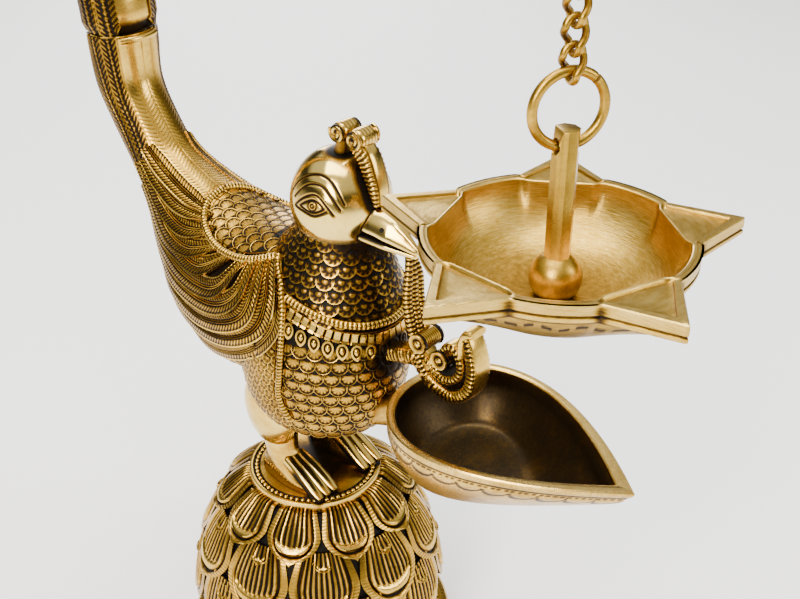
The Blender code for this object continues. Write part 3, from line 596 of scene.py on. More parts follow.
plateBand = ribbon("plateBand", bothWays([(-21.6, 7, 157.2), (-20.2, 0.7, 155.2), (-17.4, -5.7, 152.7),
                                          (-12.7, -11, 151), (-7.4, -14.5, 150), (0, -15.8, 149.4)]),
                   1.75, segments, step=0.27, across=10)
pendant = ornament("pendant", 2.0, 2.7,
                   [(0.98, -0.9, 1.0), (1.0, 0.2, 0.9), (0.9, 1.1, 0.04), (0.66, 1.15, 0.1),
                    (0.5, 0.75, 0.95), (0.3, 1.2, 0.05), (0.04, 1.45, 0.0)], sharp=0.25)
pendantLine, along = evenLine(bothWays([(-21.6, 6, 151.5), (-20.9, -0.5, 149.9), (-17.8, -6.8, 148),
                                        (-12.6, -12, 146.6), (-6, -15.3, 145.6), (0, -16, 145.3)]),
                              chest["pendantPitch"])
pendants = layAll("pendants", pendant, [(p, (0, 0, 1)) for p in pendantLine])
print("chest and neck made")


# wings, seen from the left and mirrored
wing = {"featherWidth": 3.5, "barbPitch": 1.3, "slant": 2.6, "borderWidth": 2.3, "ribPitch": 1.25}
wingFeathers = [  # from under the shoulder's border back to the tail's root
    [(-9.5, 58, 169.5), (-9.5, 70, 173.5), (-8.8, 80, 177.5), (-9.4, 88, 184)],
    [(-11.5, 54, 168.8), (-13, 68, 170.5), (-11.5, 80, 175), (-11.4, 88, 181)],
    [(-14, 49, 166.5), (-17, 62, 165.5), (-14.5, 76, 169.5), (-12, 88, 179)],
    [(-16.5, 42, 165.5), (-20.3, 55, 161.3), (-17.8, 70, 163.5), (-12.6, 87, 175.5), (-12.2, 90, 179)],
    [(-17.5, 34.5, 166), (-23, 46, 159), (-21, 60, 159.5), (-17.4, 74, 162), (-12.4, 88, 172)],
    [(-18.5, 29, 166.8), (-25.3, 34, 157.5), (-26.3, 44, 154.5), (-23, 60, 155), (-16, 79, 159.5),
     (-12.4, 90, 168.5)],
    [(-18, 25.5, 167.5), (-25.6, 25.5, 158), (-28.2, 34, 152), (-26.7, 49, 150.3), (-22, 65, 152),
     (-14.5, 84, 159.5)],
    [(-17, 22.5, 168.3), (-24.3, 20, 160), (-28, 23, 151.5), (-29.4, 35, 146), (-27, 50, 144.5),
     (-20, 69, 148), (-14, 83, 154)],
    [(-16.5, 19.5, 168.8), (-22.8, 15.2, 159.5), (-26.4, 17.5, 149.5), (-29, 27, 143), (-28.4, 42, 140),
     (-22, 61, 141.5), (-14, 76, 147)],
    [(-16.3, 17.6, 168.8), (-21.3, 12.6, 159.5), (-24.5, 12.3, 149.5), (-26.4, 21.5, 139.5),
     (-26.3, 38, 133.5), (-20, 55, 134), (-12, 68, 138)],
]


def featherWidth(share):
    # slim at its root, full along its middle and a little slimmer at its end
    root = 0.62 + 0.38 * float(ease(0, 0.25, share))
    return wing["featherWidth"] * root * (1 - 0.25 * float(ease(0.75, 1, share)))


vanes = [ribbon(f"vane{n}", line, featherWidth,
                feathers(wing["barbPitch"], wing["slant"], 1.25 - 0.045 * n, dark=0.62 + 0.05 * (n % 3)),
                step=0.32, across=20)
         for n, line in enumerate(wingFeathers)]
shoulderLine = [(-14.6, 17, 170.5), (-17, 22.4, 168.1), (-18.7, 28.5, 166), (-18.8, 36, 164.7),
                (-17.8, 43.6, 164.7), (-15.7, 50.5, 166.1), (-12.6, 56, 168.8), (-8, 59.5, 171.8),
                (-0.2, 60.8, 173.6)]
frontLine = [(-14.4, 17, 170.3), (-16.4, 16.2, 168.2), (-18.8, 12.8, 164.8), (-21, 9.8, 160),
             (-22.5, 8.4, 155), (-24.9, 7.6, 145), (-25.6, 8.3, 135.5), (-25, 10, 126), (-21, 8, 118)]
shoulderBorder = ribbon("shoulderBorder", shoulderLine, wing["borderWidth"],
                        bands(wing["ribPitch"], crown=1.9), step=0.27)
frontBorder = ribbon("frontBorder", frontLine, 1.9, bands(wing["ribPitch"], crown=2.0), step=0.27)

shoulderScale = ornament("shoulderScale", 3.1, 3.6, crescent, sides=18, tilt=0.55, fringe=0.3, shade=0.85)


def insideShoulder(x, y):
    # the patch between the neck and the shoulder's border
    edge = np.interp(y, [p[1] for p in shoulderLine], [-p[0] for p in shoulderLine])
    return abs(x) < edge - 0.6 and y < 58.5


def shoulderPlaces():
    places = []
    for n in range(11, -1, -1):
        y = 16.5 + 4.2 * n
        for k in range(-4, 5):
            x = 4.6 * (k + 0.5 * (n % 2))
            spot = hit((x, y, 230), (0, 0.05, -1))
            if spot is not None and insideShoulder(x, y) and spot[2] < 180:
                places.append((spot, (x * 0.02, -1, 0)))
    return places


shoulderScales = layAll("shoulderScales", shoulderScale, shoulderPlaces())

# small scales on the flank under the wing, and on the rump behind it
flankScale = ornament("flankScale", 2.1, 2.5, ringed(0.25, 0.28, 0.04, 0.5), tilt=0.45, fringe=0.3, sides=12,
                      shade=0.9)


def flankPlaces():
    places = []
    for n in range(12):
        z = 112 + 3.1 * n
        farthest = np.interp(z, (133, 136.8, 140, 143, 146.5), (80, 29, 22, 18, 14))
        for k in range(-1, 14):
            y = 11.5 + 3.6 * (k + 0.5 * (n % 2))
            if y > farthest:
                continue
            if y > 13 + (z - 108) * 1.9 or y > 12 + 2.0 * (z - 108):
                continue
            spot = hit((-80, y, z), (1, 0, 0))
            if spot is not None and spot[0] < -8:
                places.append((spot, (0.1, -0.45, 1)))
    return places


flankScales = layAll("flankScales", flankScale, flankPlaces())
rumpScale = ornament("rumpScale", 3.6, 4.2, ringed(0.3, 0.24, 0.04, 0.4), tilt=0.6, fringe=0.3, shade=0.85)


# the upper edge of the rump's scales: heights at these places along the bird
rumpEdge = (12, 38, 55, 68, 83, 96, 106), (112, 131.5, 133, 136, 152, 166, 176)


def rumpPlaces():
    axis, _ = evenLine([(0, 14, 122), (0, 30, 133), (0, 50, 147), (0, 75, 160), (0, 90, 171), (0, 98, 181)],
                       4.3)
    ahead = unit(np.gradient(axis, axis=0))
    places = []
    for n, (point, way) in enumerate(zip(axis, ahead)):
        down = np.array((0, way[2], -way[1]))
        first = hit(point + down * 60, -down)
        if first is None:
            continue
        count = int(round(math.tau * np.linalg.norm(first - point) / 6.0))
        for k in range(count):
            turn = math.tau * (k + 0.5 * (n % 2)) / count
            side = down * math.cos(turn) + np.array((math.sin(turn), 0, 0))
            spot = hit(point + side * 60, -side)
            if spot is None or spot[2] < bird["belly"] - 1 or spot[1] < 12:
                continue
            if abs(spot[0]) > 9 and spot[1] < 44:
                continue
            if spot[2] < np.interp(spot[1], *rumpEdge):
                places.append((spot, -way))
    return places


rumpScales = layAll("rumpScales", rumpScale, rumpPlaces()[::-1])

# long feathers along the top of the back, from the shoulder's border up the tail's root
backFeathers = [
    [(-4.6, 60.5, 172.5), (-4.4, 72, 176.5), (-4.2, 83, 183), (-4.1, 91, 193), (-4.1, 96.2, 204),
     (-4.2, 97.8, 218.4)],
]


def plumes(s, w, share):
    # polished vanes, cut with fine barbs
    side = np.abs(w)
    barb = 0.5 + 0.5 * np.cos(math.tau * (s - 3.5 * side) / 1.5)
    line = np.exp(-((side - 0.05) / 0.045) ** 2) + np.exp(-((side - 0.93) / 0.05) ** 2)
    fade = 1 - ease(0.55, 0.85, share)
    cut = (1 - barb) ** 3 * ease(0.08, 0.2, side) * (1 - ease(0.8, 0.9, side)) * fade
    return 0.75 - 0.16 * cut - 0.2 * line, 0.04 + 0.55 * cut + 0.55 * line


backVanes = [ribbon(f"backVane{n}", line, 4.6, plumes, step=0.33, across=18)
             for n, line in enumerate(backFeathers)]
leftSide = [*vanes, shoulderBorder, frontBorder, flankScales, *backVanes]
leftWing = joined("leftWing", leftSide)
rightWing = mirrored(leftWing, "rightWing")
print("wings made")

# a closed bar along a line in the middle plane: half widths across, half heights along its own up
def bar(name, line, widths, heights, tone, sides=48, steps=10, square=2.4):
    path = smoothLine([(0, y, z) for y, z in line], steps)
    share = np.linspace(0, 1, len(path))
    given = np.linspace(0, 1, len(widths))
    wide = np.interp(share, given, widths)
    high = np.interp(share, given, heights)
    wide, high = relaxed(wide, 8), relaxed(high, 8)
    along = unit(np.gradient(path, axis=0))
    up = np.stack([np.zeros(len(path)), -along[:, 2], along[:, 1]], 1)
    up = up if up[:, 2].sum() > 0 else -up
    turns = np.linspace(0, math.tau, sides, endpoint=False)
    c, s = np.cos(turns), np.sin(turns)
    cx = np.sign(c) * np.abs(c) ** (2 / square)
    sx = np.sign(s) * np.abs(s) ** (2 / square)
    length = np.r_[0, np.cumsum(np.linalg.norm(np.diff(path, axis=0), axis=1))]
    swell, tones = tone(length[:, None] + 0 * cx, cx + 0 * length[:, None], sx + 0 * length[:, None])
    points = path[:, None] + up[:, None] * (sx * high[:, None] * swell)[:, :, None]
    points[:, :, 0] += cx * wide[:, None] * swell
    return sleeve(name, points, tones)


def plain(value):
    return lambda s, x, y: (np.ones_like(x), np.full_like(x, value))


# legs and feet
leg = {"spread": 11.5, "columns": 72, "toeGap": 2.6}


def oneLeg(side):
    # a shin that widens to the thigh and runs out into one long fluted foot
    stations = [  # y, z, half width, half depth
        (baseY + 4.5, platformTop + 38, 7.4, 9.5), (baseY + 4.5, platformTop + 28, 7.2, 8.8),
        (baseY + 4.6, platformTop + 18, 5.8, 6.8), (baseY + 3.6, platformTop + 10, 5.2, 6.6),
        (baseY + 1.0, platformTop + 5.0, 5.0, 11.5), (baseY - 1.5, platformTop + 2.2, 5.0, 15.0),
        (baseY - 1.5, platformTop + 0.15, 4.9, 15.2),
    ]
    rows = smoothLine(stations, 14)
    turns = np.linspace(0, math.tau, leg["columns"], endpoint=False)
    points = np.empty((len(rows), leg["columns"], 3))
    tones = np.empty((len(rows), leg["columns"]))
    front = np.maximum(-np.sin(turns), 0)
    wave = 0.5 + 0.5 * np.cos(np.cos(turns) * 10.5)
    for n, (y, z, w, d) in enumerate(rows):
        low = float(ease(platformTop + 12, platformTop + 3, z))
        pinch = 1 - 0.30 * low * front**2
        flutes = 1 - 0.10 * low * front**0.7 * wave
        points[n, :, 0] = side * leg["spread"] + w * np.cos(turns) * pinch * flutes
        points[n, :, 1] = y + d * np.sin(turns)
        points[n, :, 2] = z + 1.5 * low * front * (z - platformTop) / 8
        tones[n] = 0.06 + 0.5 * low * front * (1 - wave) + 0.04
    return sleeve("leg", points, tones)


def toes(side):
    # three rounded toes side by side, with a black line between them
    parts = []
    for k in (-1, 0, 1):
        made = bar("toe", [(baseY - 1, platformTop + 9.4), (baseY - 8, platformTop + 6.2),
                           (baseY - 14.5, platformTop + 2.9), (baseY - 18, platformTop + 1.5)],
                   (2.1, 2.3, 2.1, 1.3), (2.2, 2.3, 1.9, 1.1),
                   lambda s, x, y: (np.ones_like(x), 0.05 + 0.9 * ease(0.80, 0.98, np.abs(x))
                                    * ease(3, 7, s)), sides=28, steps=10, square=2.5)
        points = readPoints(made)
        along = ease(baseY - 1, baseY - 18, points[:, 1])
        points[:, 0] += side * leg["spread"] * 0.97 + k * (leg["toeGap"] + 0.9 * along)
        writePoints(made, points)
        parts.append(made)
    return parts


legs = [oneLeg(-1), oneLeg(1), *toes(-1), *toes(1)]

# platform under the feet: a plain rim, a ring of beads and a floor inside it, bright near the beads and
# darker towards the middle
platform = {"radius": 23.5, "beadRing": 20.9, "beadSize": 0.95, "beads": 64}


def turnedSleeve(name, profile, columns, tones):
    profile = np.asarray(profile, float)
    turns = np.linspace(0, math.tau, columns, endpoint=False)
    points = np.empty((len(profile), columns, 3))
    points[:, :, 0] = profile[:, :1] * np.cos(turns)
    points[:, :, 1] = baseY + profile[:, :1] * np.sin(turns)
    points[:, :, 2] = profile[:, 1:]
    return sleeve(name, points, np.repeat(np.asarray(tones, float)[:, None], columns, 1))


top, rim = platformTop, platform["radius"]
platformForm = turnedSleeve("platformForm", [
    (3.9, seatZ - 14.5), (3.9, seatZ + 0.3), (rim - 0.3, seatZ + 0.3), (rim, seatZ + 0.7), (rim, top - 0.7),
    (rim - 0.15, top - 0.25), (rim - 0.6, top), (rim - 1.2, top), (rim - 1.5, top - 0.15),
    (rim - 1.6, top - 0.5), (rim - 3.4, top - 0.55), (rim - 3.7, top - 0.2), (rim - 4.0, top - 0.1),
    (rim - 9, top - 0.12), (rim - 16, top - 0.15), (0.2, top - 0.15)],
    160, [0.3, 0.5, 0.9, 0.1, 0.02, 0.0, 0.02, 0.1, 0.9, 1.0, 1.0, 0.9, 0.15, 0.3, 0.8, 0.9])
bead = ornament("bead", platform["beadSize"], platform["beadSize"],
                [(0.8, -0.6, 1.0), (1.0, 0.0, 0.6), (0.88, 0.5, 0.1), (0.5, 0.85, 0.0), (0.06, 1.0, 0.0)],
                sides=10)


def roundAxis(pattern, name, count, phase=0.0, outwards=(0, 0)):
    # copies of the pattern round the base's axis, moved outwards and up first
    parts = []
    flat = readPoints(pattern)
    for n in range(count):
        turn = phase + math.tau * n / count
        made = copyOf(pattern, f"{name}{n}")
        x, y, z = flat[:, 0] + outwards[0], flat[:, 1], flat[:, 2] + outwards[1]
        writePoints(made, np.stack([x * math.cos(turn) - y * math.sin(turn),
                                    baseY + x * math.sin(turn) + y * math.cos(turn), z], 1))
        parts.append(made)
    return joined(name, parts)


def onRing(pattern, name, radius, z, count):
    flat = readPoints(pattern)
    writePoints(pattern, np.stack([flat[:, 1], flat[:, 0], flat[:, 2]], 1))
    return roundAxis(pattern, name, count, outwards=(radius, z))


beadRing = onRing(bead, "beadRing", platform["beadRing"], top - 0.7, platform["beads"])
print("legs and platform made")

# head: a polished ball with its eye cut in fine lines
head = {"columns": 320, "rows": 210, "cut": 0.34, "depth": 0.30}
headLines = [  # on the bird's left side: brow, second brow, lid, lower lid, inner corner, jaw, beak's root
    [(-13, 12, 193.5), (-12.3, 8, 198), (-11, 2.6, 200), (-10.4, -2.2, 198.5), (-10, -6.7, 193)],
    [(-14.3, 9.6, 192.6), (-13.5, 5.2, 197), (-12.4, 0.4, 197.5), (-12, -3.3, 195), (-11.1, -6, 191.5)],
    [(-15, 9, 190.3), (-14.7, 4.6, 194), (-14, 1, 195), (-13.4, -2.5, 192.5), (-12.6, -4.6, 190)],
    [(-15, 9, 190.1), (-15.5, 5, 189.7), (-15.3, 2, 189.2), (-14.9, 0, 189.5), (-13.6, -2.7, 191)],
    [(-15.3, 6.4, 191), (-15.1, 4.3, 192.6), (-14.5, 1.8, 193.6), (-14, -0.4, 192.8), (-13.8, -1.8, 191.6)],
    [(-15.3, 6.4, 191), (-15.4, 3.4, 190.2), (-14.9, 0.6, 190.3), (-13.8, -1.8, 191.6)],
    [(-12.6, 10.6, 179.8), (-10.9, 7.3, 177), (-9, 4, 174.9), (-7.4, 2.1, 174), (-3.4, -2, 173.6),
     (0, -3, 173.8)],
]
iris = np.array((-14.85, 1.9, 191.9))


def makeHead():
    unselect()
    bpy.ops.mesh.primitive_uv_sphere_add(segments=head["columns"], ring_count=head["rows"], radius=mm)
    made = bpy.context.object
    made.name = "head"
    ways = unit(readPoints(made))
    points = headCentre + ways * headRadii
    folded = points.copy()
    folded[:, 0] = -np.abs(folded[:, 0])
    cut = np.zeros(len(points))
    near = folded[:, 0] < 0.5
    for line in headLines:
        ball = np.array([headCentre + unit(p - headCentre) * headRadii for p in smoothLine(line, 6)])
        apart = lineDistance(folded[near], ball)
        cut[near] = np.maximum(cut[near], np.exp(-(apart / head["cut"]) ** 2))
    away = np.linalg.norm(folded - (headCentre + unit(iris - headCentre) * headRadii), axis=1)
    for radius in (0.55, 1.45):
        cut = np.maximum(cut, 0.9 * np.exp(-((away - radius) / 0.24) ** 2))
    points -= ways * (head["depth"] * cut)[:, None]
    # painted shade: the lower part of the ball is darkened
    low = ease(headCentre[2] - 9, headCentre[2] - 15, points[:, 2])
    writePoints(made, points)
    setPatinaAndShade(made, np.clip(1.25 * cut, 0, 1) + 0.25 * low)
    return made


headBall = makeHead()


upperLine = [(-4, 186.6), (-11, 186.8), (-17, 185.1), (-22, 182.9), (-26.4, 180.7)]
upperHalf = (4.0, 4.0, 3.4, 2.2, 0.8)
upperBeak = bar("upperBeak", upperLine, (7.0, 7.0, 5.6, 3.4, 0.9), upperHalf,
                lambda s, x, y: (np.ones_like(x), 0.03 + 0.9 * ease(-0.985, -1.0, y)), square=3.0, steps=16,
                sides=96)
points = readPoints(upperBeak)
middle, half = (np.interp(-points[:, 1], [-y for y, _ in upperLine], values)
                for values in ([z for _, z in upperLine], upperHalf))
rise = np.clip((points[:, 2] - middle + half) / (2 * half), 0, 1)
points[:, 0] *= 1 - 0.62 * rise**1.3  # the beak narrows to a ridge on top
writePoints(upperBeak, points)
lowerBeak = bar("lowerBeak", [(-3, 181.8), (-9, 181.6), (-16, 180.85), (-21, 180.0), (-25.6, 179.2)],
                (6.4, 6.2, 4.9, 2.9, 0.9), (1.7, 1.6, 1.35, 1.05, 0.65),
                lambda s, x, y: (np.ones_like(x), 0.04 + 0.85 * ease(0.975, 1.0, y)), square=3.0, steps=16)
beakSeam = bar("beakSeam", [(-3, 182.9), (-9, 182.8), (-16, 181.9), (-21, 180.85), (-25.4, 179.9)],
               (6.8, 6.7, 5.25, 3.1, 0.7), (0.45, 0.42, 0.38, 0.32, 0.2), plain(1.0))


# a round wire through points; its radius and its patina may change along it
def wire(name, points, radius, tone=0.1, sides=14, closed=False):
    points = np.asarray(points, float)
    if closed:
        along = unit(np.roll(points, -1, 0) - np.roll(points, 1, 0))
    else:
        along = unit(np.gradient(points, axis=0))
    radius = np.broadcast_to(np.asarray(radius, float), len(points))
    tone = np.broadcast_to(np.asarray(tone, float), len(points))
    # a frame carried along the line, so that the tube doesn't twist
    first = np.cross(along[0], (0.0, 0.0, 1.0))
    if np.linalg.norm(first) < 0.2:
        first = np.cross(along[0], (1.0, 0.0, 0.0))
    across = [unit(first)]
    for n in range(1, len(points)):
        last = across[-1]
        across.append(unit(last - along[n] * (last @ along[n])))
    across = np.array(across)
    if closed:  # share out what the frame has turned by the time it comes back
        gap = unit(across[-1] - along[0] * (across[-1] @ along[0]))
        turned = math.atan2(np.cross(gap, across[0]) @ along[0], gap @ across[0])
        for n in range(len(points)):
            turn = turned * n / len(points)
            side = np.cross(along[n], across[n])
            across[n] = across[n] * math.cos(turn) + side * math.sin(turn)
    side = np.cross(along, across)
    turns = np.linspace(0, math.tau, sides, endpoint=False)
    ring = across[:, None] * np.cos(turns)[None, :, None] + side[:, None] * np.sin(turns)[None, :, None]
    rows = points[:, None] + ring * radius[:, None, None]
    tones = np.repeat(tone[:, None], sides, 1)
    if closed:
        rows, tones = np.concatenate([rows, rows[:1]]), np.concatenate([tones, tones[:1]])
    return sleeve(name, rows, tones)


skinOfBeak = skinTree([upperBeak])
nostrils = []
for side in (-1, 1):
    spots, ups = onSkin(np.array([(side * 4.6, -15.8, 186.4)]), skinOfBeak)
    line = spots[0] + ups[0] * np.linspace(0.12, -1.2, 4)[:, None]
    nostrils.append(wire(f"nostril{side}", line, 0.75, 1.0, sides=16))

# crest: a ribbed strap up the forehead and two rolls on top
crest = {"ribPitch": 1.35}


def strapTone(s, x, y):
    wave = 0.5 + 0.5 * np.cos(math.tau * s / crest["ribPitch"])
    edge = ease(0.55, 0.8, np.abs(x))
    swell = 1 - 0.09 * (1 - wave) * edge
    return swell, 0.05 + 0.75 * (1 - wave) ** 2 * edge + 0.55 * np.exp(-((np.abs(x) - 0.55) / 0.08) ** 2)


crestStrap = bar("crestStrap", [(-3.5, 208.5), (-7.0, 205.6), (-9.3, 201), (-11.0, 196), (-11.6, 191.6)],
                 (3.6, 4.0, 4.1, 3.8, 2.9), (2.7, 2.8, 2.5, 2.1, 1.2), strapTone, steps=24, sides=72,
                 square=2.6)
crestRoot = bar("crestRoot", [(4.0, 201.5), (2.6, 206.5), (1.6, 210.5)], (3.4, 3.0, 3.6), (2.6, 2.2, 2.2),
                plain(0.55), steps=10)


def roll(name, y, z, radius, halfWidth, spin):
    across = np.linspace(-1, 1, 25)
    body = np.stack([across * halfWidth, np.full(25, y), np.full(25, z)], 1)
    swell = radius * (1 - 0.32 * np.abs(across) ** 6)
    grooves = 0.06 + 0.5 * (np.abs(((across * 3) % 1) - 0.5) < 0.12)
    parts = [wire(name, body, swell, grooves, sides=40)]
    for side in (-1, 1):
        turn = np.linspace(0.6, 3.6 * math.pi, 80)
        reach = radius * (1.0 - 0.85 * turn / turn[-1])
        coil = np.stack([np.full(80, side * (halfWidth + 0.05)), y + reach * np.cos(turn * spin + 1),
                         z + reach * np.sin(turn * spin + 1)], 1)
        parts.append(wire(f"{name}Coil{side}", coil, 0.52, 0.08, sides=8))
        disc = np.stack([np.linspace(side * (halfWidth - 0.6), side * (halfWidth + 0.1), 3), np.full(3, y),
                         np.full(3, z)], 1)
        parts.append(wire(f"{name}Disc{side}", disc, radius * 0.86, 1.0, sides=32))
    return parts


crestRolls = roll("frontRoll", -4.6, 210.6, 3.2, 3.9, 1) + roll("backRoll", 2.0, 211.3, 3.0, 3.9, -1)
# painted shade on the ball round the foot of the crest, and a dark joint line round the beak
jointDirtAndShadeNear(headBall, [crestStrap, crestRoot, *crestRolls], 3.4)
jointDirtAndShadeNear(headBall, [upperBeak, lowerBeak, beakSeam], 0.9)
headPieces = [headBall, upperBeak, lowerBeak, beakSeam, *nostrils, crestStrap, crestRoot, *crestRolls]
print("head made")

# garland from the beak: three beaded cords down to a ribbed scroll
vine = {"beadPitch": 1.5, "cordRadius": 1.55, "scrollPitch": 1.45}
cords = []
for k, x in enumerate((-2.9, 0.0, 2.9)):
    line, at = evenLine([(x * 0.35, -23.6, 178.6), (x * 0.8, -24.4, 172.5), (x, -24.6, 164), (x, -27.3, 153),
                         (x, -30.3, 146), (x * 0.9, -33, 141.6)], 0.3)
    wave = 0.5 + 0.5 * np.cos(math.tau * at / vine["beadPitch"])
    cords.append(wire(f"cord{k}", line, vine["cordRadius"] * (0.70 + 0.30 * wave ** 0.5)
                      * (0.75 + 0.25 * ease(0, 8, at)), 0.05 + 0.8 * (1 - wave) ** 2, sides=16))
cordBack = bar("cordBack", [(-22.6, 179), (-23.6, 172), (-23.6, 164), (-26, 153), (-28.5, 147), (-31, 143)],
               (1.2, 2.6, 3.3, 3.4, 3.4, 3.0), (1.0, 1.2, 1.4, 2.0, 2.2, 1.6), plain(1.0), steps=10)


# ribs across a bar, between two smooth edges
def ribbed(pitch, dark=0.85):
    def tone(s, x, y):
        wave = 0.5 + 0.5 * np.cos(math.tau * s / pitch)
        edge = ease(0.70, 0.88, np.abs(y))
        swell = 1 - 0.10 * (1 - wave) * (1 - edge)
        return swell, 0.04 + dark * (1 - wave) ** 1.5 * (1 - edge)
    return tone


scrollOuter = bar("scrollOuter", [(-22, 144), (-27, 146.5), (-33, 141), (-41, 138.8), (-47.6, 143),
                                  (-49.6, 150.5), (-48.2, 157.5), (-46.4, 161.8)],
                  (3.6, 4.0, 4.4, 4.5, 4.5, 4.4, 4.2, 3.8), (1.6, 2.0, 2.2, 2.2, 2.2, 2.1, 1.9, 1.5),
                  ribbed(vine["scrollPitch"]), steps=16, sides=56, square=3.2)
scrollInner = bar("scrollInner", [(-29.5, 149.5), (-33.5, 145.6), (-38.6, 143.7), (-43.6, 146.2),
                                  (-44.8, 151.6), (-42, 155.8), (-38.4, 154.2), (-38.3, 150.8), (-40.6, 150)],
                  (3.4, 3.6, 3.7, 3.7, 3.6, 3.4, 3.2, 3.0, 2.4),
                  (1.3, 1.5, 1.6, 1.6, 1.5, 1.3, 1.2, 1.1, 0.8), ribbed(vine["scrollPitch"]), steps=16,
                  sides=48, square=3.0)
scrollDark = bar("scrollDark", [(-27, 147.5), (-34, 144), (-41, 144.5), (-44.4, 149.5), (-42, 153)],
                 (2.4, 2.6, 2.6, 2.4, 1.8), (3.0, 3.4, 3.6, 3.6, 2.4), plain(1.0), steps=8)
scrollTab = bar("scrollTab", [(-45.2, 154.5), (-45.4, 159), (-46.8, 162.3), (-49.2, 163.0)],
                (3.5, 3.8, 3.8, 3.4), (1.5, 1.9, 1.7, 1.1), plain(0.02), steps=12, square=2.8)
rose = ornament("rose", 1.9, 1.9, [(0.9, -1.0, 1.0), (1.0, 0.0, 0.9), (0.88, 0.7, 0.0), (0.6, 0.5, 0.3),
                                   (0.42, 0.2, 1.0), (0.3, 0.7, 0.0), (0.04, 0.95, 0.0)], sides=14)
roses = []
for side in (-1, 1):
    for y, z, size, out in ((-29.8, 153.0, 1.8, 4.0), (-37.8, 150.4, 1.7, 3.6)):
        made = copyOf(rose, "rose")
        flat = readPoints(made) * size
        points = np.stack([side * (out + flat[:, 2] / size), y + side * flat[:, 0], z + flat[:, 1]], 1)
        writePoints(made, points)
        closeUp(made, fill=False)
        roses.append(made)
        if side > 0:
            across = np.linspace(-out, out, 41)
            core = np.stack([across, np.full(41, y), np.full(41, z)], 1)
            roses.append(wire("scrollCore", core, 1.7 * size, 0.15 + 0.75 * (np.mod(np.arange(41), 4) == 0),
                              sides=32))
rootBar = bar("vineRoot", [(-12, 141), (-20, 144), (-28, 146), (-36, 144.5)], (3.6, 3.7, 3.8, 3.4),
              (2.6, 2.8, 3.2, 2.2), ribbed(vine["scrollPitch"]), steps=14, sides=56, square=3.0)
vinePieces = [*cords, cordBack, scrollOuter, scrollInner, scrollDark, scrollTab, *roses, rootBar]

jointDirtAndShadeNear(platformForm, legs, 1.6)
# painted shade on the neck, chest and necklace under the garland and the lower beak
for part, reach in ((neckScales, 11.0), (chestScales, 8.0), (chestForm, 9.0), (neckBand, 5.0),
                    (plateBand, 5.0), (pendants, 5.0)):
    jointDirtAndShadeNear(part, [cordBack, rootBar, lowerBeak], reach, 0.72)
for part in legs:
    jointDirtAndShadeNear(part, [chestForm, backForm], 1.2)
birdBody = joined("birdBody", [chestForm, backForm])
birdLegs = joined("birdLegs", [*legs, *thighs])
platformPiece = joined("platformPiece", [platformForm, beadRing])
necklace = joined("necklace", [neckBand, plateBand, pendants])
birdHead = headPieces[0]
birdBeak = joined("beakAndCrest", headPieces[1:])
garland = joined("garland", vinePieces)
for thing, look in ((birdBody, engraved), (birdLegs, polished), (platformPiece, engraved),
                    (necklace, engraved), (birdHead, polished), (birdBeak, polished), (garland, engraved),
                    (leftWing, engraved), (rightWing, engraved), (neckScales, engraved),
                    (chestScales, engraved), (shoulderScales, engraved), (rumpScales, engraved)):
    finishPiece(thing, "stand", look, ("peacock",) if thing == birdBody else ())
for pattern in (neckScale, lowScale, pendant, shoulderScale, flankScale, rumpScale, bead, rose):
    bpy.data.objects.remove(pattern)
print("bird finished")

# upper tail: a flattened round arch, smooth inside and covered with long feathers outside
tail = {"back": 89.0, "straight": 35.0, "rise": 99.0, "topBack": -3.5, "halfWidth": 14.0, "halfDepth": 10.5,
        "tipSize": 0.30, "lanes": 9, "laneSpan": 302, "barbPitch": 1.9}


def tailPath(steps=120):
    joint = bird["tailJoint"] + 0.3
    spring = bird["tailJoint"] + tail["straight"]
    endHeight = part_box("chain_link_1")[1][2] / mm + 0.7 + 7 * 0.8
    hangForward = baseY - hangY
    endForward = hangForward - 7 * 0.6
    end = math.pi - math.asin((endHeight - spring) / tail["rise"])
    back = tail["back"] - tail["topBack"]
    front = (endForward + tail["topBack"]) / -math.cos(end)
    turn = np.linspace(0, end, steps)
    reach = np.where(turn < math.pi / 2, back, front)
    arch = np.stack([0 * turn, baseY + tail["topBack"] + reach * np.cos(turn),
                     spring + tail["rise"] * np.sin(turn)], 1)
    foot = [(0, baseY + tail["back"] - 3.5, joint), (0, baseY + tail["back"] - 2.6, (joint * 3 + spring) / 4),
            (0, baseY + tail["back"] - 1, (joint + spring) / 2),
            (0, baseY + tail["back"] - 0.3, (joint + 3 * spring) / 4)]
    return np.concatenate([foot, arch])


path = smoothLine(tailPath(60), 4)
share = np.r_[0, np.cumsum(np.linalg.norm(np.diff(path, axis=0), axis=1))]
share = share / share[-1]
size = 1 + (tail["tipSize"] - 1) * share**1.35
direction = unit(np.gradient(path, axis=0))
direction[0] = (0, 0, 1)
outward = np.stack([np.zeros(len(path)), direction[:, 2], -direction[:, 1]], 1)
turns = np.linspace(0, math.tau, 72, endpoint=False)
inset = 1.1
depths = (tail["halfDepth"] - inset) * size
points = path[:, None] + outward[:, None] * (np.sin(turns) * depths[:, None])[:, :, None]
points[:, :, 0] += np.cos(turns) * ((tail["halfWidth"] - inset) * size)[:, None]
inner = ease(-0.75, -0.86, np.sin(turns))
tones = np.repeat((0.95 * (1 - inner) + 0.08 * inner)[None, :], len(path), 0)
fromJoint = (path[:, 2] - path[0, 2])[:, None]
atFoot = ease(3.6, 0.6, fromJoint) * (np.arange(len(path)) < len(path) / 3)[:, None]
tones = np.maximum(tones, atFoot)  # black round the joint
tones = tones * (1 - 0.78 * ease(0.925, 0.96, share))[:, None]
points[:, :, 0] *= 1 - 0.14 * atFoot**2
points[:, :, 1] += 2.2 * atFoot**2 * inner[None, :]
tailCore = sleeve("tailCore", points, tones)
tailSkin = skinTree([tailCore])


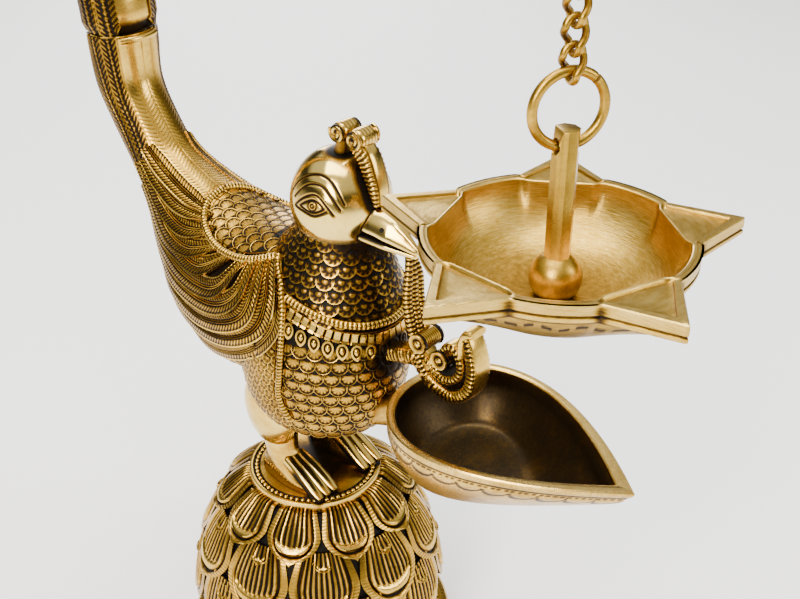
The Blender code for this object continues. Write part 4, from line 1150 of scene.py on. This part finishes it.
def laneRelief(s, w, share):
    side = np.abs(w)
    barb = 0.5 + 0.5 * np.cos(math.tau * (s - 3.4 * side) / tail["barbPitch"])
    quill = np.exp(-(w / 0.10) ** 2)
    beads = 0.5 + 0.5 * np.cos(math.tau * s / 1.1)
    groove = np.exp(-((side - 0.24) / 0.08) ** 2)
    rim = ease(0.84, 0.92, side)
    flat = (1 - quill) * (1 - rim)
    height = 0.5 + 0.28 * barb * flat + quill * (0.25 + 0.25 * beads) - 0.2 * groove + 0.2 * rim
    patinaAndShade = flat * (0.25 + 0.68 * (1 - barb)) + 0.5 * quill * (1 - beads) + 0.7 * groove + 0.25 * rim
    return height, patinaAndShade


lanes = []
for k in range(tail["lanes"]):
    span = tail["laneSpan"] * (1 - 1 / tail["lanes"])
    a = math.radians(90 - span / 2 + span * k / (tail["lanes"] - 1))
    line = path + outward * (math.sin(a) * tail["halfDepth"] * size)[:, None]
    line[:, 0] += math.cos(a) * tail["halfWidth"] * size
    half = 39.0 * tail["laneSpan"] / 360 / tail["lanes"] * 1.06
    lanes.append(ribbon(f"lane{k}", line[::8][:-1],
                        lambda s, half=half: half * (1 + (tail["tipSize"] - 1) * s**1.35),
                        laneRelief, step=0.5, across=14, skin=tailSkin))
# the same feathers on the tail's root, from the wing's last feather up to the joint
rootLines = [
    [(-11.9, 87, 177), (-11.2, 92.5, 188), (-10.4, 99, 200), (-10.3, 101.8, 218.6)],
    [(-11.9, 90, 173), (-11.6, 98, 187), (-11.5, 104.8, 200), (-12.2, 107, 218.6)],
    [(-10.8, 93, 169.5), (-10, 103.5, 185), (-9.6, 110.5, 200), (-10, 112.8, 218.6)],
    [(-7.6, 97, 169), (-6.8, 107.5, 184), (-6.2, 114, 200), (-6, 116.3, 218.6)],
    [(-2.6, 99, 168.5), (-2.2, 109.5, 183), (-2, 115.4, 200), (-1.9, 117.3, 218.6)],
]
rootLanes = [ribbon(f"rootLane{n}", line, 2.75, laneRelief, step=0.4, across=14)
             for n, line in enumerate(rootLines)]
rootLeft = joined("tailRootLeft", rootLanes)
rootRight = mirrored(rootLeft, "tailRootRight")
# a plain collar round the front of the joint
collarTurn = np.linspace(math.radians(236), math.radians(304), 30)
collarLine = np.stack([12.3 * np.cos(collarTurn), baseY + tail["back"] - 3.5 + 9.8 * np.sin(collarTurn),
                       np.full(30, bird["tailJoint"] - 1.5)], 1)
collar = wire("jointCollar", collarLine, 1.2, 0.05, sides=14)
eyeCentre = np.array((0, hangY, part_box("chain_link_1")[1][2] / mm + 0.3))
turn = np.linspace(0, math.tau, 64, endpoint=False)
eyeLoop = eyeCentre + np.stack([0 * turn, 3.5 * np.cos(turn), 3.5 * np.sin(turn)], 1)
tailEye = wire("tailEye", eyeLoop, 0.92, 0.15, sides=16, closed=True)
neckStart = path[-8]
neckEnd = eyeCentre + unit(path[-1] - eyeCentre) * 3.4
tailNeck = wire("tailNeck", np.linspace(neckStart, neckEnd, 20), np.linspace(2.6, 1.05, 20), 0.2, sides=24)
tenon = wire("tailTenon", [(0, path[0][1], bird["tailJoint"] + 3), (0, path[0][1], bird["tailJoint"] - 5),
                           (0, path[0][1], bird["tailJoint"] - 10.7)], 3.15, 0.3, sides=32)
tailOuter = joined("tailFeathersRight", lanes[:4])
tailOuterTwo = joined("tailFeathersLeft", lanes[4:])
tailArch = joined("tailArch", [tailCore, tailEye, tailNeck, tenon])
rootPiece = joined("tailRoot", [rootLeft, rootRight, collar])
finishPiece(rootPiece, "stand", engraved)
finishPiece(tailArch, "stand", engraved, ("tail_arch",))
finishPiece(tailOuter, "stand", engraved)
finishPiece(tailOuterTwo, "stand", engraved)
print("tail made")

# lotus base: a dark bell under three rows of fluted petals
base = {"seat": 24.5, "wide": 46.5, "height": seatZ, "petals": 10, "phase": -113.0}
bellShares = [(0.0, 1.0), (0.27, 0.93), (0.58, 0.81), (0.82, 0.65), (0.97, 0.49), (1.0, 0.35), (0.965, 0.22),
              (0.90, 0.13)]
bell = smoothLine(bellShares, 10)
bellInset = 1.6  # the petals stand out from the bell by about this much
bellOut = np.stack([base["seat"] - 0.2 + (base["wide"] - bellInset - base["seat"]) * bell[:, 0],
                    np.minimum(base["height"] * bell[:, 1], base["height"] - 0.05)], 1)
bellOut = np.concatenate([[(base["seat"] - 2.6, base["height"] - 0.02)], bellOut])
bellWay = np.r_[0, np.cumsum(np.linalg.norm(np.diff(bellOut, axis=0), axis=1))]


def bellPoint(run):
    # place and outward normal on the bell's outline, run millimetres down from the seat
    r, z = np.interp(run, bellWay, bellOut[:, 0]), np.interp(run, bellWay, bellOut[:, 1])
    dr = np.interp(run + 0.6, bellWay, bellOut[:, 0]) - np.interp(run - 0.6, bellWay, bellOut[:, 0])
    dz = np.interp(run + 0.6, bellWay, bellOut[:, 1]) - np.interp(run - 0.6, bellWay, bellOut[:, 1])
    length = np.maximum(np.hypot(dr, dz), 1e-6)
    return r, z, -dz / length, dr / length


neckOfBell = bellOut[-1]
wallIn, bore = 3.0, 4.6
footLine = [(neckOfBell[0] + 1.0, 8.6), (neckOfBell[0] + 1.4, 6.8), (46.8, 6.0), (48.9, 5.2), (49.7, 4.4),
            (49.8, 3.4), (49.8, 0.9), (49.5, 0.05), (neckOfBell[0] - 2.4, 0.05)]
innerLine = [(max(r - wallIn, 5.0), max(z - wallIn, 0.6)) for r, z in bellOut[::-4]]
profile = [(bore, base["height"] - 0.02), *map(tuple, bellOut), *footLine, *innerLine,
           (bore, base["height"] - 3.2), (bore, base["height"] - 0.02)]
footTones = [0.9, 0.5, 0.15, 0.03, 0.0, 0.05, 0.05, 0.2, 0.6]
bellTones = [0.35, *(0.97 - 0.6 * ease(55, 63, bellWay)), *footTones, *[0.8] * len(innerLine), 0.7, 0.35]
bellForm = turnedSleeve("bellForm", profile, 180, bellTones)


# one petal as a closed sheet on the bell: w runs across it, v down it from root to tip
def petal(name, start, length, rootTurn, wideTurn, flutes, lift, across=48, rows=44, curl=1.2):
    w = np.linspace(-1, 1, across + 1)[None, :]
    v = np.linspace(0, 1, rows + 1)[:, None]
    shape = rootTurn + (wideTurn - rootTurn) * np.sin(np.clip(v / 0.62, 0, 1) * math.pi / 2)
    close = np.clip((v - 0.5) / 0.5, 0, 1)
    shape = shape * (1 - close**2.4) ** 0.62 * (1 - 0.18 * close) + 0.0005  # an ogee, pointed at its tip
    turn = shape * w
    side = np.abs(w)
    run = start + length * (v + 0.07 * close**2 * (1 - side) ** 1.5)
    # flutes end in a round, then a smooth pointed lip, a black line and a ribbed edge
    within = ((side / 0.73) ** 6 + (np.clip(v, 0, 1) / 0.86) ** 9) ** (1 / 7)
    wave = 0.5 + 0.5 * np.cos(math.tau * flutes * (w * 0.5) / 0.70)
    floor = 0.50 + 0.17 * np.sqrt(np.clip(1 - (side / 0.7) ** 2, 0, 1))
    inFlutes = (1 - ease(0.90, 0.95, within)) * (1 - ease(floor, floor + 0.05, v))
    lip = (1 - ease(0.90, 0.95, within)) * ease(floor + 0.02, floor + 0.07, v)
    channel = np.exp(-((within - 1.0) / 0.045) ** 2)
    ribs = 0.5 + 0.5 * np.cos(math.tau * run / 1.15)
    edge = ease(1.04, 1.10, within)
    crown = 1.0 - 0.35 * w**2
    height = (lift * crown + 0.6 * inFlutes * wave + 0.8 * lip - 0.75 * channel + 0.14 * edge * ribs
              + curl * v**3)
    patinaAndShade = inFlutes * (0.98 * (1 - wave) ** 1.1 + 0.04) + lip * 0.04 + channel + 0.40 * edge * (1 - ribs)
    r, z, nr, nz = bellPoint(run)
    top = np.stack([(r + nr * height) * np.cos(turn), (r + nr * height) * np.sin(turn), z + nz * height], 2)
    under = -0.4
    low = np.stack([(r + nr * under) * np.cos(turn), (r + nr * under) * np.sin(turn), z + nz * under], 2)
    points = np.concatenate([top, low[:, [-1, 0]]], 1)
    tones = np.concatenate([np.broadcast_to(patinaAndShade, turn.shape), np.ones((rows + 1, 2))], 1)
    return sleeve(name, points, tones)


def roundBase(pattern, name, phase):
    made = roundAxis(pattern, name, base["petals"], math.radians(base["phase"] + phase))
    bpy.data.objects.remove(pattern)
    return made


half = math.pi / base["petals"]
upperPetals = roundBase(petal("upperPetal", 1.6, 16.9, half * 0.86, half * 0.97, 7, 1.7, curl=1.5),
                        "upperPetals", 0)
middlePetals = roundBase(petal("middlePetal", 15.0, 24.5, half * 0.74, half * 1.00, 9, 1.3, curl=1.6),
                         "middlePetals", 18)
lowerPetals = roundBase(petal("lowerPetal", 33.4, 26.5, half * 0.8, half * 0.97, 9, 1.0, curl=1.4),
                        "lowerPetals", 0)
# small buds between the petals' tips
budPetal = petal("budPetal", 15.2, 6.2, half * 0.24, half * 0.34, 3, 1.5, across=20, rows=18, curl=1.0)
buds = roundBase(budPetal, "buds", 18)
lowBud = petal("lowBud", 35.0, 6.5, half * 0.2, half * 0.28, 3, 1.3, across=20, rows=18, curl=1.0)
lowBuds = roundBase(lowBud, "lowBuds", 0)
footBead = ornament("footBead", 1.2, 1.2,
                    [(0.8, -0.6, 1.0), (1.0, 0.0, 0.6), (0.88, 0.6, 0.1), (0.5, 1.0, 0.0), (0.06, 1.2, 0.0)],
                    sides=10)
footBeads = onRing(footBead, "footBeads", 44.6, 6.4, 96)
bpy.data.objects.remove(footBead)
lotusBell = joined("lotusBell", [bellForm, footBeads, buds, lowBuds])
finishPiece(lotusBell, "stand", engraved, ("lotus_base",))
for thing in (upperPetals, middlePetals, lowerPetals):
    finishPiece(thing, "stand", engraved)
print("lotus base made")

# oil cup: a leaf-shaped bowl on a short arm
cup = {"rim": platformTop + 57.2, "depth": 21.0, "length": 81.5, "halfWidth": 26.5, "forward": 45.0,
       "wall": 2.6}


def leafRing(sideIn, tipIn, height, sides):
    turn = np.linspace(0, math.tau, sides, endpoint=False)
    back = (1 - np.cos(turn)) / 2
    width = (cup["halfWidth"] - sideIn) * 1.5 * math.sqrt(3) * back * np.sqrt(1 - back)
    length = cup["length"] - sideIn - tipIn
    y = baseY - (cup["forward"] + sideIn) - length * (1 - back)
    return np.stack([np.copysign(width, np.sin(turn)), y, np.full(sides, height)], 1)


def makeCup():
    rim, depth, wall = cup["rim"], cup["depth"], cup["wall"]
    sides = 480
    tipWall = wall * 2.4
    outside = [(11, 34, 1.0), (9.5, 31, 0.99), (7.4, 27, 0.93), (5.0, 20, 0.75), (2.3, 12, 0.52),
               (0.6, 5, 0.30), (0.2, 2.2, 0.15), (0.05, 0.6, 0.07), (0.0, 0.1, 0.02)]
    rows, tones = [], []
    outer = smoothLine(outside, 8)
    for side, tip, down in outer:
        rows.append(leafRing(side, tip, rim - depth * down, sides))
    at = np.r_[0, np.cumsum(np.linalg.norm(np.diff(np.r_[rows[-1], rows[-1][:1]], axis=0), axis=1))][:-1]
    middle = rows[-1].mean(0)
    for n, (side, tip, down) in enumerate(outer):
        fall = down * depth
        cell = np.abs(np.mod(at / 8.0, 1) - 0.5) * 2
        arc = 3.1 + 3.2 * np.sqrt(np.clip(1 - cell**2, 0, 1))
        dashes = np.exp(-((fall - 3.9) / 0.24) ** 2) * (np.mod(at, 2.0) < 1.2)
        line = np.exp(-((fall - arc - 1.2) / 0.42) ** 2) + dashes
        dots = np.exp(-((fall - 2.9) / 0.30) ** 2) * 0.8
        cut = np.clip(line + dots, 0, 1) * ease(0.05, 0.2, fall)
        inwards = rows[n][:, :2] - middle[:2]
        rows[n][:, :2] -= unit(inwards) * (0.16 * cut)[:, None]
        streak = 0.12 + 0.25 * ease(8, 19, fall)
        tones.append(np.clip(1.1 * cut + streak, 0, 1))
    ledge = [(0.35, 0.6, 0.0), (wall * 0.5, tipWall * 0.5, 0.0), (wall * 0.8, tipWall * 0.85, 0.01),
             (wall, tipWall, 0.03)]
    for (side, tip, down), tone in zip(ledge, (0.02, 0.0, 0.03, 0.25)):
        rows.append(leafRing(side, tip, rim - depth * down, sides))
        tones.append(np.full(sides, tone))
    inside = [(wall, tipWall, 0.05), (wall + 0.3, 2.4 + tipWall, 0.16), (0.6 + wall, 5 + tipWall, 0.30),
              (2.3 + wall, 12 + tipWall, 0.50), (5 + wall, 20 + tipWall, 0.70),
              (7.5 + wall, 27 + tipWall, 0.83), (11 + wall, 34 + tipWall, 0.865), (17, 45, 0.872),
              (21.5, 52, 0.874)]
    for side, tip, down in smoothLine(inside, 5):
        rows.append(leafRing(side, tip, rim - depth * down, sides))
        soot = 0.45 + 0.36 * float(ease(0.03, 0.14, down)) - 0.07 * float(ease(0.5, 0.86, down))
        tones.append(np.full(sides, soot))
    return sleeve("oilCup", np.array(rows), np.array(tones))


oilCup = makeCup()
armLine = [(baseY - 29.3, cup["rim"] - 18.9), (baseY - 38, cup["rim"] - 14.9),
           (baseY - 48.5, cup["rim"] - 11)]
arm = bar("cupArm", armLine, (5.0, 5.2, 5.4), (5.0, 5.2, 5.6), plain(0.22), steps=12, square=3.4)
tang = bar("cupTang", [(baseY - 30.5, cup["rim"] - 18.6), (baseY - 25, cup["rim"] - 21.2),
                       (baseY - 20.2, cup["rim"] - 23.3)],
           (4.1, 4.1, 4.1), (4.1, 4.1, 4.1), plain(0.5), steps=6, square=2.0)
oilCupPiece = joined("oilCup", [oilCup, arm, tang])
finishPiece(oilCupPiece, "stand", oiled, ("oil_cup",))
print("cup made")

# star dish, hung from the ring by its stem
dish = {"rim": platformTop + 125.9, "depth": 20.5, "points": 5, "tip": 51.0, "bowl": 36.0, "wall": 2.6,
        "halfAngle": math.radians(19), "turn": math.radians(34)}


def starReach(turn, drawn, share):
    # distance from the middle to the outline at each angle; share 0 is the rim's star, 1 the floor's circle
    cell = math.tau / dish["points"]
    off = np.abs(np.mod(turn - dish["turn"] + cell / 2, cell) - cell / 2)
    bowl, tip = dish["bowl"] - drawn, dish["tip"] - drawn * 1.9
    a, b = dish["halfAngle"], off
    # along the straight edge from the point to the bowl
    edge = tip * bowl * math.sin(a) / (tip * np.sin(b) + bowl * np.sin(np.maximum(a - b, 0)) + 1e-9)
    edge = np.where(off < a, edge, bowl)
    round_ = bowl * np.sqrt(max(1 - share**2 * 0.86, 0))
    return np.minimum(edge, round_) + np.maximum(edge - bowl, 0) * max(1 - share * 1.35, 0)


def makeDish():
    rim, depth, wall = dish["rim"], dish["depth"], dish["wall"]
    sides = 600
    turn = np.linspace(0, math.tau, sides, endpoint=False)
    cell = math.tau / dish["points"]
    off = np.abs(np.mod(turn - dish["turn"] + cell / 2, cell) - cell / 2)
    inPoint = ease(dish["halfAngle"] * 1.05, dish["halfAngle"] * 0.85, off)
    rows, tones = [], []

    def add(reach, z, tone):
        rows.append(np.stack([reach * np.cos(turn), hangY + reach * np.sin(turn),
                              np.broadcast_to(z, sides)], 1))
        tones.append(np.broadcast_to(tone, sides))

    corner = np.exp(-((off - dish["halfAngle"]) / 0.035) ** 2)
    add(np.full(sides, 2.9), rim - depth + 0.02, 0.7)
    for share in np.linspace(1, 0.30, 22):
        fall = depth * share
        marks = np.exp(-((fall - 8.2 - 0.8 * np.cos(turn * 20)) / 0.5) ** 2)
        marks = marks * (np.mod(turn * 50 / math.tau, 1) < 0.6)
        add(starReach(turn, 0.1, share) - 0.12 * marks, rim - fall,
            np.clip(0.15 + 0.85 * marks + 0.35 * share, 0, 1))
    # a tall edge with a line cut round it stands over the bowl
    for drawn, fall, tone in ((0.9, 5.3, 0.85), (0.25, 5.0, 0.25), (0.05, 4.6, 0.04), (0.05, 3.9, 0.1),
                              (0.4, 3.6, 0.7), (0.4, 3.2, 0.6), (0.05, 2.9, 0.08), (0.05, 1.2, 0.02),
                              (0.10, 0.3, 0.0), (0.45, 0.0, 0.0)):
        add(starReach(turn, drawn, 0), rim - fall, np.clip(tone + 0.7 * corner * (fall > 1), 0, 1))
    # the spouts: wide flat borders round a sunk triangle, closed by a straight thin edge at the bowl
    bowlIn = dish["bowl"] - dish["wall"]
    straight = bowlIn * math.cos(dish["halfAngle"]) / np.cos(off)
    inner = np.where(off < dish["halfAngle"], straight - 1.2, bowlIn - 1.2)
    inner = inner + 1.2 * ease(dish["halfAngle"] * 0.8, dish["halfAngle"] * 1.15, off)
    for drawn, keep, sunk, tone in ((1.4, 2.8, 0.0, 0.0), (2.3, 2.5, 0.02, 0.03), (2.55, 2.3, 0.75, 0.45),
                                    (3.1, 2.1, 0.9, 0.2), (4.6, 1.9, 1.0, 0.08), (7.5, 1.7, 1.05, 0.10),
                                    (12, 1.5, 1.1, 0.16), (20, 1.3, 1.1, 0.30), (30, 1.1, 0.95, 0.40),
                                    (40, 0.75, 0.15, 0.0), (41, 0.35, 0.0, 0.0)):
        add(np.maximum(starReach(turn, min(drawn, 12), 0), inner + keep),
            rim - sunk * inPoint - 0.1 * (keep < 1), tone)
    for share in np.linspace(0, 1, 34):
        angle = share * math.pi / 2
        edge = inner + (bowlIn - 1.2 - inner) * float(ease(0, 0.4, share))
        reach = 3.0 + (edge - 3.0) * math.cos(angle) ** 0.82
        add(reach, rim - 0.35 - (depth - wall - 0.35) * math.sin(angle) ** 0.8, 0.16 + 0.2 * share**3)
    add(np.full(sides, 2.85), rim - depth + wall - 0.02, 0.6)
    rows.append(rows[0])
    tones.append(tones[0])
    return sleeve("starDish", np.array(rows), np.array(tones))


starDish = makeDish()
finishPiece(starDish, "dish", satin, ("star_dish",), degrees=32)
print("dish made")

# stem, ring and chain: bar and wire of the same deeper brass
hang = {"stemBall": 7.0, "ringRadius": 9.6, "ringWire": 1.33, "split": math.radians(5),
        "turn": math.radians(30), "links": 9, "linkLength": 9.1, "linkHalf": 2.55, "linkWire": 1.0}


def merged(node, name):
    made = copyOf(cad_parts[node], name)
    closeUp(made, merge=2e-6, fill=False)
    return made


stem = merged("dish_stem", "stemBar")
pick([stem])
edges = stem.modifiers.new("edges", "BEVEL")
edges.width = 0.00035
edges.segments = 2
edges.limit_method = "ANGLE"
edges.angle_limit = math.radians(32)
bpy.ops.object.modifier_apply(modifier=edges.name)
unselect()
bpy.ops.mesh.primitive_uv_sphere_add(segments=64, ring_count=40, radius=hang["stemBall"] * 1.012 * mm)
boss = bpy.context.object
ballZ = dish["rim"] - dish["depth"] + dish["wall"] + hang["stemBall"] * 0.72
points = readPoints(boss)
points[:, 2] = np.maximum(points[:, 2], -hang["stemBall"] * 0.70)
writePoints(boss, points + (0, hangY, ballZ))
setPatinaAndShade(boss, 0.15 + 0.5 * ease(-2, -5, points[:, 2]))
stemPiece = joined("dishStem", [stem, boss])
finishPiece(stemPiece, "dish", deep, ("dish_stem",))

ringMiddle = np.array((0, hangY, dish["rim"] + 23.8 + hang["ringRadius"]))
ringWay = np.array((math.cos(hang["turn"]), -math.sin(hang["turn"]), 0))
turn = math.radians(48) + hang["split"] / 2 + np.linspace(0, math.tau - hang["split"], 120)
ringLine = ringMiddle + ringWay * (hang["ringRadius"] * np.cos(turn))[:, None]
ringLine[:, 2] += hang["ringRadius"] * np.sin(turn)
splitRing = wire("splitRing", ringLine, hang["ringWire"], 0.12, sides=28)
finishPiece(splitRing, "ring", deep, ("split_ring",))

pitch = hang["linkLength"] - 2 * hang["linkWire"] - 0.3
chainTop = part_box("chain_link_1")[1][2] / mm - hang["linkWire"]


def linkLine(number):
    top = chainTop - (number - 1) * pitch
    straight = hang["linkLength"] / 2 - hang["linkHalf"]
    loop = []
    for end, first in ((1, 0), (-1, 180)):
        for n in range(25):
            a = math.radians(first + 7.5 * n)
            loop.append((hang["linkHalf"] * math.cos(a), end * straight + hang["linkHalf"] * math.sin(a)))
        loop += [(loop[-1][0], end * straight * share) for share in (0.75, 0.5, 0.25, 0, -0.25, -0.5, -0.75)]
    spots = []
    for side, height in loop:
        share = min(max((straight - height) / (2 * straight), 0), 1)
        turn = math.radians(90) * share + hang["turn"] * (number - 0.5) / hang["links"]
        spots.append((side * math.cos(turn), hangY - side * math.sin(turn),
                      top - hang["linkLength"] / 2 + height))
    return np.array(spots)


for number in range(1, hang["links"] + 1):
    line = linkLine(number)
    worn = 0.10 + 0.35 * np.exp(-((line[:, 2] - line[:, 2].mean()) / 1.6) ** 2)
    link = wire(f"chainLink{number}", line, hang["linkWire"] - 0.04, worn, sides=18, closed=True)
    finishPiece(link, f"link_{number}", deep, (f"chain_link_{number}",))
for name in ("base_washer", "base_nut", "dish_nut", "tail_pin", "cup_pin"):
    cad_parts[name].data.materials.clear()
    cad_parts[name].data.materials.append(deep)
print("stem, ring and chain made")

# room: a plain pale floor, soft white light
unselect()
bpy.ops.mesh.primitive_plane_add(size=6, location=(0, 0, 0))
floor = bpy.context.object
floor.name = "floor"
paper = bpy.data.materials.new("palePaper")
paper.use_nodes = True
paper.node_tree.nodes["Principled BSDF"].inputs["Base Color"].default_value = linear("#FCFBFA")
paper.node_tree.nodes["Principled BSDF"].inputs["Roughness"].default_value = 0.9
floor.data.materials.append(paper)
world = bpy.data.worlds.new("studio")
bpy.context.scene.world = world
world.use_nodes = True
sky = world.node_tree
background = sky.nodes["Background"]
gaze = addNode(sky, "TexCoord").outputs["Generated"]
height = addNode(sky, "SeparateXYZ", {}, {0: gaze}).outputs[2]
glow = addNode(sky, "ValToRGB", {}, {"Fac": addNode(sky, "MapRange", {"From Min": -0.4, "From Max": 1.0},
                                                     {"Value": height}).outputs[0]})
setRamp(glow, [(0.0, "#A8A6A2"), (0.3, "#B4B2AF"), (0.42, "#4A4744"), (0.56, "#3E3C3A"), (0.7, "#F4F3F2"),
               (1.0, "#FFFFFF")])
sky.links.new(glow.outputs["Color"], background.inputs["Color"])
background.inputs["Strength"].default_value = 1.0


def softLight(name, place, aim, size, power, colour="#FFFFFF"):
    unselect()
    bpy.ops.object.light_add(type="AREA", location=place)
    light = bpy.context.object
    light.name = name
    light.data.shape = "RECTANGLE"
    light.data.size, light.data.size_y = size
    light.data.energy = power
    light.data.color = linear(colour)[:3]
    light.rotation_euler = (Vector(aim) - Vector(place)).to_track_quat("-Z", "Y").to_euler()


middle = (0, 0, 0.18)
softLight("keyBox", (-0.80, -0.25, 0.70), middle, (0.35, 0.7), 17, "#FFF8EE")
softLight("fillBox", (0.45, -0.95, 0.60), middle, (0.35, 0.6), 7)
softLight("topBox", (-0.05, 0.10, 1.3), middle, (0.9, 0.9), 27)
softLight("backBox", (0.7, 0.8, 0.5), middle, (0.4, 0.6), 6)

# camera, a little above the cup and to the bird's left
unselect()
bpy.ops.object.camera_add(location=(-0.2204, -0.21729, 0.3405))
camera = bpy.context.object
camera.rotation_euler = Vector((0.637, 0.573, -0.515)).to_track_quat("-Z", "Y").to_euler()
camera.data.lens = 51.75
camera.data.sensor_width = 36
camera.data.clip_start = 0.01
bpy.context.scene.camera = camera
print("room, light and camera made")

bpy.context.view_layer.update()
